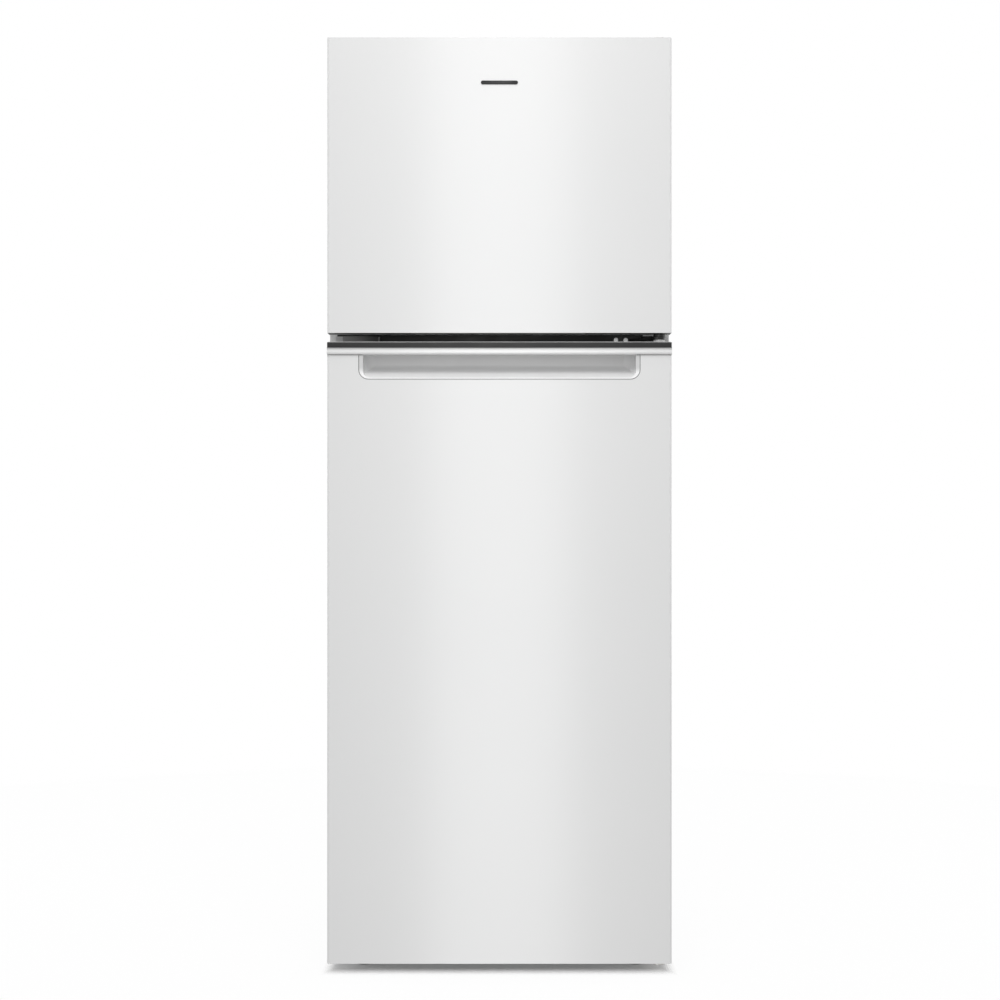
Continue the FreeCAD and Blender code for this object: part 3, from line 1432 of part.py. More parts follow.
# ---- all the nodes ------------------------------------------------------------------------------
def build():
    """Every sub-part by its name."""
    evaporator_motor_place = (0.0, evaporator_fan_z, evaporator_fan_y + 4.5)
    nodes = {
        "cabinet_wrapper": cabinet_wrapper(),
        "rear_panel": rear_panel(),
        "base_pan": base_pan(),
        "cabinet_foam": cabinet_foam(),
        "freezer_liner": freezer_liner(),
        "fridge_liner": fridge_liner(),
        "mullion_bar": mullion_bar(),
        "rear_cover": rear_cover(),
        "cord_gland": cord_gland(),
        "top_hinge": top_hinge(),
        "middle_hinge": middle_hinge(),
        "bottom_hinge": bottom_hinge(),
        "top_hinge_cover": top_hinge_cover(),
        "hinge_screws": hinge_screws(),
        "hinge_hole_plugs": hinge_hole_plugs(),
        "leveling_leg_left": leveling_leg(-1),
        "leveling_leg_right": leveling_leg(1),
        "rear_roller_left": rear_roller(-1),
        "rear_roller_right": rear_roller(1),
        "roller_axles": roller_axles(),
        "compressor": compressor(),
        "compressor_grommets": compressor_grommets(),
        "condenser": condenser(),
        "condenser_fan_motor": condenser_fan_motor(),
        "condenser_fan": condenser_fan(),
        "drain_pan": drain_pan(),
        "evaporator": evaporator(),
        "evaporator_cover": evaporator_cover(),
        "evaporator_fan": fan(0.0, evaporator_fan_z, evaporator_fan_y),
        "evaporator_fan_motor": fan_motor(*evaporator_motor_place, cavity_back),
        "freezer_shelf": freezer_shelf(),
        "air_duct": air_duct(),
        "fridge_shelf_lower": shelf_frame(lower_shelf_z),
        "fridge_shelf_upper": shelf_frame(upper_shelf_z),
        "crisper_cover": crisper_cover(),
        "shelf_glass": Part.makeCompound([shelf_pane(z) for z in shelf_levels]),
        "humidity_slider": humidity_slider(),
        "crisper_drawer": crisper_drawer(),
        "control_housing": control_housing(),
        "lamp_lens": lamp_lens(),
        "temperature_knob": temperature_knob(),
        "freezer_door_skin": door_skin(freezer_door.bottom, freezer_door.top),
        "freezer_door_top_cap": freezer_top_cap(),
        "freezer_door_bottom_cap": freezer_bottom_cap(),
        "freezer_door_liner": door_liner(freezer_door, bin_levels(freezer_bins), dyke_back - 8.0),
        "freezer_door_gasket": door_gasket(freezer_door),
        "fridge_door_skin": fridge_skin(),
        "fridge_door_top_cap": fridge_top_cap(),
        "fridge_door_bottom_cap": fridge_bottom_cap(),
        "fridge_door_liner": door_liner(fridge_door, bin_levels(fridge_bins), dyke_back - 8.0),
        "fridge_door_gasket": door_gasket(fridge_door),
        "handle_pocket": handle_pocket(),
        "handle_trim": handle_trim(),
    }
    for name, (z, height) in freezer_bins.items():
        nodes[name] = door_bin(z, height, cab_front + freezer_bin_reach)
    for name, (z, height) in fridge_bins.items():
        nodes[name] = door_bin(z, height, cab_front + bin_reach)
    upper = [nodes[n] for n in ("freezer_door_top_cap", "freezer_door_bottom_cap")]
    nodes["freezer_door_foam"] = door_foam(freezer_door, upper, cap_rooms(freezer_door))
    lower = [nodes[n] for n in ("fridge_door_top_cap", "fridge_door_bottom_cap", "handle_pocket")]
    nodes["fridge_door_foam"] = door_foam(fridge_door, lower, cap_rooms(fridge_door), pocket_form(0.0))
    return nodes


def cap_rooms(door):
    """Everything in a door that foam can't reach: the pins' sockets, the grip and the ends."""
    wide = half_width + 1
    rooms = [
        box(-wide, wide, door_front - 1, door_back - liner, door.bottom - 1, door.bottom + 1.0 + cap_height),
        box(-wide, wide, door_front - 1, door_back - liner, door.top - cap_height, door.top + 1),
        pin_boss(door.bottom, door.bottom + pin_length + 5.5),
        pin_boss(door.top - pin_length - 5.5, door.top),
    ]
    if door is freezer_door:
        x = grip_width / 2
        y0, y1 = door_front + 9.0, door_front + 9.0 + grip_depth
        rooms.append(box(-x, x, y0, y1, door.bottom, door.bottom + grip_height))
    else:
        rooms.append(box(-wide, wide, door_front - 1, door_back - liner, panel_top, door.top + 1))
    return rooms


def export(nodes):
    for name, shape in nodes.items():
        solids = shape.Solids
        if not solids or not all(s.isValid() and s.Volume > 0 for s in solids):
            raise ValueError(f"{name} isn't a valid solid")
        Part.makeCompound(solids).exportStep(f"parts/{name}.step")
        box_ = shape.BoundBox
        size = "x".join(f"{v:.1f}" for v in (box_.XLength, box_.YLength, box_.ZLength))
        print(f"{name}: {len(solids)} solid(s), {size} mm")


export(build())
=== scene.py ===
"""Looks of the white top-freezer refrigerator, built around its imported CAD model.

Metres, +Z up, the doors face -Y.
"""

import json
import math

import bmesh
import bpy
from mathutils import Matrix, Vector


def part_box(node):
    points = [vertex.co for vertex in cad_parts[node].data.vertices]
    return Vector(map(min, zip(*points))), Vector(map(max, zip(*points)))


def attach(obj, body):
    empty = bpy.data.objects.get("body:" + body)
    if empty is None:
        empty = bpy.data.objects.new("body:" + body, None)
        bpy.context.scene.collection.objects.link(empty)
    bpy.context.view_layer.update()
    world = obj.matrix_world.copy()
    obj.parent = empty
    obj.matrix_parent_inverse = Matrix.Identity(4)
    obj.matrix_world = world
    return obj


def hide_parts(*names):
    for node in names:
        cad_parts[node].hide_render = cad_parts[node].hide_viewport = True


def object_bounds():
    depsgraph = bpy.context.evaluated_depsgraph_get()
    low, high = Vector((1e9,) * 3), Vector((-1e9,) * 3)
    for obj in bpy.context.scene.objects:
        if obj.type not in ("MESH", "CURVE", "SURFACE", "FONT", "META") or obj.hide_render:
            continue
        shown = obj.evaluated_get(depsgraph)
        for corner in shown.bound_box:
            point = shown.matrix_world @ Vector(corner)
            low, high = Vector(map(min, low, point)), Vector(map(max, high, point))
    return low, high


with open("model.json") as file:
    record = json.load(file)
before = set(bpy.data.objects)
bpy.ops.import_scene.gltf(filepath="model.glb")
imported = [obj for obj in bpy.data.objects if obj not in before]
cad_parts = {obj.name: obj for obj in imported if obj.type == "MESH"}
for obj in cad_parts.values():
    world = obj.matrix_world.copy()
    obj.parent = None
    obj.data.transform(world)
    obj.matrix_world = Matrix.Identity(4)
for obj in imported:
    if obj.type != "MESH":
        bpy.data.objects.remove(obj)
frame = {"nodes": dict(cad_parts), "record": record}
cad_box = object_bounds()
nodes = frame["nodes"]
MM = 0.001

# where the hinge pins stand, from the doors' side edges and front faces
PIN_INSET = 20 * MM
PIN_SETBACK = 25 * MM


# ---- camera, world, floor and lights -------------------------------------------------------------
CAMERA_DISTANCE = 3.55
CAMERA_HEIGHT = 0.8215
CAMERA_SHIFT = 0.001
CAMERA_REACH = 60.0
SENSOR = 36.0
VIEW_WIDTH = 1.726
AMBIENT = 0.54

# the floor fades over these distances: from the middle, past the sides and past the front;
# beside and before the object, FLOOR_LOSS of it is see-through where the fade starts and ends
FLOOR_FADE = (1.3, 2.6)
FLOOR_SIDE = (-0.012, 0.014)
FLOOR_FRONT = (-0.068, -0.008)
FLOOR_LOSS = (0.1, 0.95)
FLOOR_MARGIN = 0.1

KEY_POWER = 8.9
STRIP_POWER = 4.75
TOP_POWER = 60.0
HIGH_POWER = 18.0
FILL_POWER = 17.0


def place_camera():
    """Level camera in front of the doors, far enough away to show the whole refrigerator."""
    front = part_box("freezer_door_skin")[0].y
    data = bpy.data.cameras.new("camera")
    data.sensor_width = SENSOR
    data.lens = SENSOR * CAMERA_DISTANCE / VIEW_WIDTH
    data.clip_end = CAMERA_REACH
    camera = bpy.data.objects.new("camera", data)
    camera.location = (CAMERA_SHIFT, front - CAMERA_DISTANCE, CAMERA_HEIGHT)
    camera.rotation_euler = (math.radians(90), 0, 0)
    bpy.context.scene.collection.objects.link(camera)
    bpy.context.scene.camera = camera


def area_light(name, place, target, width, height, power):
    """A white rectangular light at place that faces target and isn't seen itself."""
    data = bpy.data.lights.new(name, "AREA")
    data.shape = "RECTANGLE"
    data.size = width
    data.size_y = height
    data.energy = power
    light = bpy.data.objects.new(name, data)
    light.location = place
    light.rotation_euler = (Vector(target) - Vector(place)).to_track_quat("-Z", "Y").to_euler()
    light.visible_camera = False
    bpy.context.scene.collection.objects.link(light)


def place_lights():
    """Soft light from above and in front, a tall strip for the bright column, and three fills."""
    front = cad_box[0][1]
    area_light("key", (0.0, front - 1.5, 2.7), (0, front, 1.1), 1.0, 0.8, KEY_POWER)
    area_light("strip", (0.0, front - 0.8, 0.85), (0, front, 0.85), 0.3, 2.8, STRIP_POWER)
    area_light("front_high", (0.0, front - 3.6, 4.3), (0, front, 1.0), 4.0, 2.0, HIGH_POWER)
    area_light("top", (0.0, 0.0, 4.5), (0, 0, 0), 5.0, 5.0, TOP_POWER)
    area_light("left_fill", (-3.0, 0.6, 1.3), (0, 0.1, 0.8), 1.6, 2.4, FILL_POWER)
    area_light("right_fill", (3.0, 0.6, 1.3), (0, 0.1, 0.8), 1.6, 2.4, FILL_POWER)
    area_light("back_fill", (0.0, 3.4, 1.9), (0, 0.3, 0.8), 2.4, 1.6, FILL_POWER)


def light_world():
    """Even studio white: pure white behind the object, and about half of it as light."""
    world = bpy.data.worlds.new("studio")
    bpy.context.scene.world = world
    world.use_nodes = True
    tree = world.node_tree
    tree.nodes.clear()
    out = tree.nodes.new("ShaderNodeOutputWorld")
    mix = tree.nodes.new("ShaderNodeMixShader")
    path = tree.nodes.new("ShaderNodeLightPath")
    ambient = tree.nodes.new("ShaderNodeBackground")
    ambient.inputs["Color"].default_value = (1.0, 1.0, 1.0, 1.0)
    ambient.inputs["Strength"].default_value = AMBIENT
    seen = tree.nodes.new("ShaderNodeBackground")
    seen.inputs["Color"].default_value = (1.0, 1.0, 1.0, 1.0)
    seen.inputs["Strength"].default_value = 1.0
    tree.links.new(path.outputs["Is Camera Ray"], mix.inputs["Fac"])
    tree.links.new(ambient.outputs[0], mix.inputs[1])
    tree.links.new(seen.outputs[0], mix.inputs[2])
    tree.links.new(mix.outputs[0], out.inputs["Surface"])


def make_floor():
    """A pale disc that fades into the white surroundings at its edge."""
    reach = FLOOR_FADE[1] + FLOOR_MARGIN
    bpy.ops.mesh.primitive_circle_add(vertices=96, radius=reach, fill_type="NGON", location=(0, 0, 0))
    floor = bpy.context.object
    floor.name = "studio_floor"
    floor.data.materials.append(floor_paint())


# ---- materials ------------------------------------------------------------------------------------
class Paint:
    """A node material, with shortcuts for the patterns that the finishes share."""

    def __init__(self, name, colour, roughness, metallic=0.0, **sockets):
        self.material = bpy.data.materials.new(name)
        self.material.use_nodes = True
        self.tree = self.material.node_tree
        self.shader = self.tree.nodes["Principled BSDF"]
        self.set("Base Color", (*colour, 1.0))
        self.set("Roughness", roughness)
        self.set("Metallic", metallic)
        for socket, value in sockets.items():
            self.set(socket.replace("_", " "), value)
        self.place = self.node("ShaderNodeTexCoord").outputs["Object"]
        self.normal = None

    def node(self, kind, **values):
        made = self.tree.nodes.new(kind)
        for key, value in values.items():
            setattr(made, key, value)
        return made

    def set(self, socket, value):
        self.shader.inputs[socket].default_value = value

    def link(self, source, target):
        self.tree.links.new(source, target)

    def noise(self, scale, detail=2.0, stretch=(1.0, 1.0, 1.0)):
        mapping = self.node("ShaderNodeMapping")
        mapping.inputs["Scale"].default_value = stretch
        self.link(self.place, mapping.inputs["Vector"])
        noise = self.node("ShaderNodeTexNoise")
        noise.inputs["Scale"].default_value = scale
        noise.inputs["Detail"].default_value = detail
        self.link(mapping.outputs[0], noise.inputs["Vector"])
        return noise.outputs["Fac"]

    def cells(self, scale, feature="F1", output="Distance"):
        voronoi = self.node("ShaderNodeTexVoronoi", feature=feature)
        voronoi.inputs["Scale"].default_value = scale
        self.link(self.place, voronoi.inputs["Vector"])
        return voronoi.outputs[output]

    def ramp(self, source, low, high, start=0.3, end=0.7):
        ramp = self.node("ShaderNodeValToRGB")
        ramp.color_ramp.elements[0].position = start
        ramp.color_ramp.elements[1].position = end
        ramp.color_ramp.elements[0].color = (*low, 1.0)
        ramp.color_ramp.elements[1].color = (*high, 1.0)
        self.link(source, ramp.inputs["Fac"])
        return ramp.outputs["Color"]

    def colour(self, source, low, high, start=0.3, end=0.7):
        self.link(self.ramp(source, low, high, start, end), self.shader.inputs["Base Color"])
        return self

    def multiply(self, first, second):
        """The base colour is the product of two colours."""
        mix = self.node("ShaderNodeMix", data_type="RGBA", blend_type="MULTIPLY")
        mix.inputs["Factor"].default_value = 1.0
        self.link(first, mix.inputs["A"])
        self.link(second, mix.inputs["B"])
        self.link(mix.outputs["Result"], self.shader.inputs["Base Color"])
        return self

    def rough(self, source, low, high):
        spread = self.node("ShaderNodeMapRange")
        spread.inputs["From Min"].default_value = 0.3
        spread.inputs["From Max"].default_value = 0.7
        spread.inputs["To Min"].default_value = low
        spread.inputs["To Max"].default_value = high
        self.link(source, spread.inputs["Value"])
        self.link(spread.outputs["Result"], self.shader.inputs["Roughness"])
        return self

    def bump(self, source, depth, strength=1.0):
        """Adds height in metres; later calls lie on top of earlier ones."""
        bump = self.node("ShaderNodeBump")
        bump.inputs["Strength"].default_value = strength
        bump.inputs["Distance"].default_value = depth
        self.link(source, bump.inputs["Height"])
        if self.normal:
            self.link(self.normal, bump.inputs["Normal"])
        self.normal = bump.outputs["Normal"]
        self.link(self.normal, self.shader.inputs["Normal"])
        return self


def grey(value):
    return (value, value, value)


def floor_paint():
    """Pale matt floor, nearly lost in the white surroundings except under the object."""
    p = Paint("studio_floor_paint", grey(0.9), 0.8)
    p.colour(p.noise(1.5), grey(0.895), grey(0.905))
    high = cad_box[1]
    folded = p.node("ShaderNodeVectorMath", operation="ABSOLUTE")
    p.link(p.place, folded.inputs[0])
    beyond = p.node("ShaderNodeVectorMath", operation="SUBTRACT")
    p.link(folded.outputs[0], beyond.inputs[0])
    beyond.inputs[1].default_value = (high.x, high.y, 0.0)
    parts = p.node("ShaderNodeSeparateXYZ")
    p.link(beyond.outputs[0], parts.inputs[0])
    beside = spanned(p, parts.outputs["X"], FLOOR_SIDE, FLOOR_LOSS)
    before = spanned(p, parts.outputs["Y"], FLOOR_FRONT, FLOOR_LOSS)
    distance = p.node("ShaderNodeVectorMath", operation="LENGTH")
    p.link(p.place, distance.inputs[0])
    far = spanned(p, distance.outputs["Value"], FLOOR_FADE, (0.0, 1.0))
    clear = p.node("ShaderNodeBsdfTransparent")
    mix = p.node("ShaderNodeMixShader")
    p.link(larger(p, larger(p, beside, before), far), mix.inputs["Fac"])
    p.link(p.shader.outputs[0], mix.inputs[1])
    p.link(clear.outputs[0], mix.inputs[2])
    p.link(mix.outputs[0], p.tree.nodes["Material Output"].inputs["Surface"])
    return p.material


def spanned(p, source, span, values):
    """source moved smoothly from its span to values."""
    node = p.node("ShaderNodeMapRange", interpolation_type="SMOOTHSTEP")
    node.inputs["From Min"].default_value, node.inputs["From Max"].default_value = span
    node.inputs["To Min"].default_value, node.inputs["To Max"].default_value = values
    p.link(source, node.inputs["Value"])
    return node.outputs["Result"]


def larger(p, first, second):
    """The larger of two values."""
    node = p.node("ShaderNodeMath", operation="MAXIMUM")
    p.link(first, node.inputs[0])
    p.link(second, node.inputs[1])
    return node.outputs[0]


def along(p, axis, span):
    """0 to 1 over a span of one axis of the frame, for painted light and shade that change along a
    piece.
    """
    parts = p.node("ShaderNodeSeparateXYZ")
    p.link(p.place, parts.inputs[0])
    return spanned(p, parts.outputs[axis], span, (0.0, 1.0))


def white_enamel():
    """Gloss powder coat on steel, with the faint orange peel that a sprayed panel has."""
    p = Paint("white_enamel", grey(0.74), 0.3, Coat_Weight=1.0, Coat_Roughness=0.2)
    p.colour(p.noise(2.2), (0.732, 0.736, 0.736), (0.752, 0.752, 0.75), 0.0, 1.0)
    p.rough(p.noise(7.0), 0.28, 0.32)
    p.bump(p.noise(480.0, 1.0), 0.00005, 0.3)
    return p.material


def side_enamel():
    """The cabinet's coat, which is a little flatter and more textured than the doors'."""
    p = Paint("side_enamel", grey(0.82), 0.4, Coat_Weight=0.25, Coat_Roughness=0.25)
    p.colour(p.noise(1.6), (0.80, 0.803, 0.803), (0.825, 0.825, 0.822))
    p.rough(p.noise(5.0), 0.34, 0.44)
    p.bump(p.cells(420.0, "SMOOTH_F1"), 0.00014, 0.5)
    p.bump(p.noise(2.4, 1.0), 0.0015, 0.12)
    return p.material


def white_moulding():
    """Thermoformed or injected white plastic."""
    p = Paint("white_moulding", grey(0.8), 0.35, Subsurface_Weight=0.04)
    p.set("Subsurface Radius", (0.004, 0.004, 0.003))
    p.colour(p.noise(4.0), (0.79, 0.795, 0.79), (0.82, 0.822, 0.815))
    p.rough(p.noise(14.0), 0.28, 0.4)
    p.bump(p.noise(1500.0, 1.0), 0.00005, 0.3)
    return p.material


def pocket_shade_and_lip_highlight():
    """The handle pocket's plastic: a shade down from the doors' enamel as painted shade in the recess,
    and paler on its lower lip as a painted highlight.
    """
    p = Paint("pocket_shade_and_lip_highlight", grey(0.64), 0.4)
    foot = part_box("handle_pocket")[0].z
    lip, above_lip = foot + 8 * MM, foot + 21 * MM
    # painted shading: pale at the lip as a painted highlight, darker above it as painted shade inside
    # the pocket
    painted_shading = p.ramp(along(p, "Z", (lip, above_lip)), grey(0.92), grey(0.61), 0.0, 1.0)
    p.multiply(painted_shading, p.ramp(p.noise(9.0, 3.0), grey(0.97), grey(1.0), 0.1, 0.9))
    p.rough(p.noise(20.0), 0.36, 0.46)
    p.bump(p.noise(1600.0, 2.0), 0.00006, 0.35)
    return p.material


def plain_plastic(name, low, high, roughness, grain=1300.0):
    p = Paint(name, low, roughness)
    p.colour(p.noise(18.0, 3.0), low, high)
    p.rough(p.noise(30.0, 2.0), roughness - 0.06, roughness + 0.08)
    p.bump(p.noise(grain, 2.0), 0.00012, 0.4)
    return p.material


def satin_aluminium():
    """Bright anodised bar, brushed along its length."""
    p = Paint("satin_aluminium", grey(0.76), 0.44, 0.6)
    streaks = p.noise(1.0, 3.0, (7.0, 2600.0, 2600.0))
    p.colour(streaks, grey(0.7), grey(0.79))
    p.rough(streaks, 0.38, 0.5)
    p.bump(streaks, 0.00001, 0.5)
    return p.material


def trim_aluminium_painted_shade():
    """The handle's bar: brushed like the bands, and darker at its upper edge, under the cap, by painted
    shade and a painted reflection of the dark cap.
    """
    p = Paint("trim_aluminium_painted_shade", grey(0.76), 0.46, 0.55)
    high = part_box("handle_trim")[1].z
    edge = 7.0 * MM
    # painted shade: the top 7 mm of the bar darkens to a fifth of its colour, for the cap's shadow and
    # dark reflection
    painted_shading = p.ramp(along(p, "Z", (high - edge, high)), grey(1.0), grey(0.2), 0.0, 1.0)
    streaks = p.noise(1.0, 3.0, (7.0, 2600.0, 2600.0))
    p.multiply(p.ramp(streaks, grey(0.76), grey(0.84)), painted_shading)
    p.rough(streaks, 0.42, 0.54)
    p.bump(streaks, 0.00001, 0.5)
    return p.material


def cover_painted_shade():
    """The spare hinge's cover: grey at its open end, and darkened towards the middle of the gap by
    painted shade.
    """
    p = Paint("cover_painted_shade", grey(0.1), 0.5)
    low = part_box("hinge_hole_plugs")[0]
    span = (low.x + 12 * MM, low.x + 80 * MM)
    # painted shade: from grey at the open end to near black deeper in the gap
    p.colour(along(p, "X", span), grey(0.42), grey(0.05), 0.0, 1.0)
    p.rough(p.noise(30.0, 2.0), 0.44, 0.58)
    p.bump(p.noise(1300.0, 2.0), 0.00012, 0.4)
    return p.material


def galvanised():
    """Hot-dipped sheet: each crystal of zinc has its own tone."""
    p = Paint("galvanised_steel", grey(0.6), 0.42, 1.0)
    p.colour(p.cells(190.0, output="Color"), (0.56, 0.57, 0.58), (0.68, 0.69, 0.7), 0.0, 1.0)
    p.rough(p.cells(190.0, output="Color"), 0.36, 0.5)
    p.bump(p.noise(5.0, 1.0), 0.002, 0.15)
    return p.material


def plated(name, low, high, roughness):
    p = Paint(name, low, roughness, 1.0)
    p.colour(p.noise(55.0, 4.0), low, high)
    p.rough(p.noise(120.0, 3.0), roughness - 0.08, roughness + 0.12)
    p.bump(p.noise(900.0, 2.0), 0.00003, 0.4)
    return p.material


def black_enamel():
    """Dipped black paint, with dust on it."""
    p = Paint("black_enamel", grey(0.015), 0.32)
    p.colour(p.noise(45.0, 5.0), grey(0.012), grey(0.05), 0.45, 0.85)
    p.rough(p.noise(30.0, 3.0), 0.25, 0.55)
    p.bump(p.noise(300.0, 2.0), 0.0001, 0.4)
    return p.material


def rubber(name, low, high, roughness=0.7):
    p = Paint(name, low, roughness)
    p.colour(p.noise(25.0, 4.0), low, high)
    p.rough(p.noise(60.0), roughness - 0.08, roughness + 0.1)
    p.bump(p.noise(1100.0, 2.0), 0.00008, 0.5)
    return p.material


def insulation():
    """Cut face of rigid foam."""
    p = Paint("insulation", (0.78, 0.67, 0.4), 0.9)
    p.colour(p.noise(60.0, 6.0), (0.72, 0.6, 0.34), (0.85, 0.76, 0.5))
    p.bump(p.cells(900.0), 0.0006, 0.8)
    return p.material


def shelf_pane():
    """Toughened soda-lime glass, green where it is looked through for long."""
    p = Paint("clear_glass", (0.92, 0.97, 0.95), 0.02, Transmission_Weight=1.0, IOR=1.5)
    p.bump(p.noise(6.0, 1.0), 0.0004, 0.15)
    return p.material


def clear_plastic():
    """Moulded clear polystyrene, with faint flow marks."""
    p = Paint("clear_plastic", (0.9, 0.95, 0.98), 0.08, Transmission_Weight=0.92, IOR=1.4)
    p.rough(p.noise(9.0, 3.0, (1.0, 1.0, 5.0)), 0.04, 0.14)
    p.bump(p.noise(22.0, 2.0, (1.0, 1.0, 4.0)), 0.0003, 0.25)
    return p.material


def frosted_plastic():
    p = Paint("frosted_plastic", (0.93, 0.94, 0.92), 0.5, Transmission_Weight=0.55, IOR=1.45)
    p.bump(p.noise(1.0, 0.0, (900.0, 1.0, 1.0)), 0.0006, 0.8)
    return p.material


def fin_aluminium():
    p = Paint("fin_aluminium", grey(0.75), 0.35, 1.0)
    p.colour(p.noise(80.0, 3.0), grey(0.68), grey(0.8))
    p.bump(p.noise(500.0, 1.0), 0.00006, 0.5)
    return p.material


PAINTS = {
    "white_enamel": white_enamel(),
    "side_enamel": side_enamel(),
    "white_moulding": white_moulding(),
    "grey_moulding": plain_plastic("grey_moulding", grey(0.26), grey(0.31), 0.5),
    "dark_moulding": plain_plastic("dark_moulding", grey(0.008), grey(0.014), 0.42),
    "pocket_shade_and_lip_highlight": pocket_shade_and_lip_highlight(),
    "seam_rubber": rubber("seam_rubber", grey(0.1), grey(0.15)),
    "satin_aluminium": satin_aluminium(),
    "trim_aluminium_painted_shade": trim_aluminium_painted_shade(),
    "cover_painted_shade": cover_painted_shade(),
    "galvanised_steel": galvanised(),
    "zinc_plate": plated("zinc_plate", (0.58, 0.57, 0.54), (0.72, 0.71, 0.68), 0.36),
    "screw_steel": plated("screw_steel", grey(0.66), grey(0.78), 0.24),
    "copper": plated("copper", (0.62, 0.27, 0.14), (0.78, 0.4, 0.24), 0.3),
    "motor_steel": plated("motor_steel", grey(0.3), grey(0.4), 0.42),
    "fin_aluminium": fin_aluminium(),
    "black_enamel": black_enamel(),
    "black_rubber": rubber("black_rubber", grey(0.02), grey(0.045)),
    "gasket": rubber("gasket", grey(0.56), grey(0.62), 0.6),
    "black_plastic": plain_plastic("black_plastic", grey(0.018), grey(0.03), 0.45),
    "insulation": insulation(),
    "clear_glass": shelf_pane(),
    "clear_plastic": clear_plastic(),
    "frosted_plastic": frosted_plastic(),
}
OWN_FINISH = {
    "cabinet_wrapper": "side_enamel",
    "handle_pocket": "pocket_shade_and_lip_highlight",
    "handle_trim": "trim_aluminium_painted_shade",
}


def paint_cad():
    """Gives every CAD node the finish of its material slot."""
    slots = {s["node"]: s["material_slot"] for s in frame["record"]["subparts"]}
    for name, node in nodes.items():
        finish = OWN_FINISH.get(name, slots[name])
        if not node.material_slots:
            node.data.materials.append(PAINTS[finish])
        for holder in node.material_slots:
            holder.material = PAINTS[finish]


# ---- mesh helpers -----------------------------------------------------------------------------------
def piece(name, mesh_maker, finish, body):
    """A new mesh object from a bmesh function; it rides on body and takes finish."""
    bm = bmesh.new()
    mesh_maker(bm)
    bmesh.ops.recalc_face_normals(bm, faces=bm.faces)
    mesh = bpy.data.meshes.new(name)
    bm.to_mesh(mesh)
    bm.free()
    made = bpy.data.objects.new(name, mesh)
    bpy.context.scene.collection.objects.link(made)
    mesh.materials.append(PAINTS[finish])
    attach(made, body)
    return made


def smooth(made, angle=35.0):
    for polygon in made.data.polygons:
        polygon.use_smooth = True
    made.data.set_sharp_from_angle(angle=math.radians(angle))
    return made


AXES = {
    "x": lambda u, v, w: (w, u, v),
    "y": lambda u, v, w: (u, w, v),
    "z": lambda u, v, w: (u, v, w),
}


def outline(u0, u1, v0, v1, radius, inset=0.0, steps=6):
    """Points (u, v) of a rounded rectangle that is moved inwards by inset."""
    r = max(radius - inset, 0.05 * MM)
    u0, u1, v0, v1 = u0 + inset, u1 - inset, v0 + inset, v1 - inset
    corners = (
        (u1 - r, v0 + r, -90),
        (u1 - r, v1 - r, 0),
        (u0 + r, v1 - r, 90),
        (u0 + r, v0 + r, 180),
    )
    points = []
    for cu, cv, start in corners:
        for i in range(steps + 1):
            angle = math.radians(start + 90 * i / steps)
            points.append((cu + r * math.cos(angle), cv + r * math.sin(angle)))
    return points


def bridge(bm, loops, closed=True):
    """Faces between each loop of vertices and the next."""
    for lower, upper in zip(loops, loops[1:]):
        count = len(lower)
        for i in range(count if closed else count - 1):
            j = (i + 1) % count
            bm.faces.new((lower[i], lower[j], upper[j], upper[i]))


def plate(bm, axis, rectangle, w0, w1, radius, edge=0.3 * MM):
    """A plate with rounded corners and softened rims, from w0 to w1 along axis."""
    at = AXES[axis]
    rims = ((edge, w0), (0.3 * edge, w0 + 0.3 * edge), (0.0, w0 + edge))
    rims += tuple((inset, w1 - (w - w0)) for inset, w in reversed(rims))
    loops = []
    for inset, w in rims:
        ring = outline(*rectangle, radius, inset)
        loops.append([bm.verts.new(at(u, v, w)) for u, v in ring])
    bridge(bm, loops)
    bm.faces.new(loops[0])
    bm.faces.new(loops[-1])


def swept_ring(bm, axis, rectangle, radius, profile):
    """A closed profile of (inset, w) points swept round a rounded rectangle."""
    at = AXES[axis]
    loops = []
    for inset, w in profile:
        ring = outline(*rectangle, radius, inset)
        loops.append([bm.verts.new(at(u, v, w)) for u, v in ring])
    bridge(bm, loops + loops[:1])


def turned(bm, axis, centre, profile, steps=28):
    """A round piece from (radius, w) points about a line along axis through centre (u, v)."""
    at = AXES[axis]
    loops = []
    for radius, w in profile:
        angles = [2 * math.pi * i / steps for i in range(steps)]
        ring = [(radius * math.cos(a), radius * math.sin(a)) for a in angles]
        loops.append([bm.verts.new(at(centre[0] + u, centre[1] + v, w)) for u, v in ring])
    bridge(bm, loops)
    bm.faces.new(loops[0])
    bm.faces.new(loops[-1])


def rounded_path(points, bend, steps=6):
    """The path with each corner replaced by a smooth curve of about radius bend."""
    points = [Vector(p) for p in points]
    path = [points[0]]
    for before, here, after in zip(points, points[1:], points[2:]):
        start = here + (before - here).normalized() * min(bend, (before - here).length / 2)
        end = here + (after - here).normalized() * min(bend, (after - here).length / 2)
        for i in range(steps + 1):
            t = i / steps
            path.append(start * (1 - t) ** 2 + here * 2 * t * (1 - t) + end * t * t)
    path.append(points[-1])
    return path


def tube(bm, points, radius, bend=10 * MM, sides=12):
    """A round tube along a path."""
    path = rounded_path(points, bend)
    side = (path[1] - path[0]).orthogonal().normalized()
    loops = []
    for i, point in enumerate(path):
        ahead = (path[min(i + 1, len(path) - 1)] - path[max(i - 1, 0)]).normalized()
        side = (side - ahead * side.dot(ahead)).normalized()
        across = ahead.cross(side)
        angles = [2 * math.pi * k / sides for k in range(sides)]
        ring = [point + (side * math.cos(a) + across * math.sin(a)) * radius for a in angles]
        loops.append([bm.verts.new(p) for p in ring])
    bridge(bm, loops)
    bm.faces.new(loops[0])
    bm.faces.new(loops[-1])


def spread(count, low, high):
    """count places from low to high, ends included."""
    return [low + (high - low) * i / (count - 1) for i in range(count)]


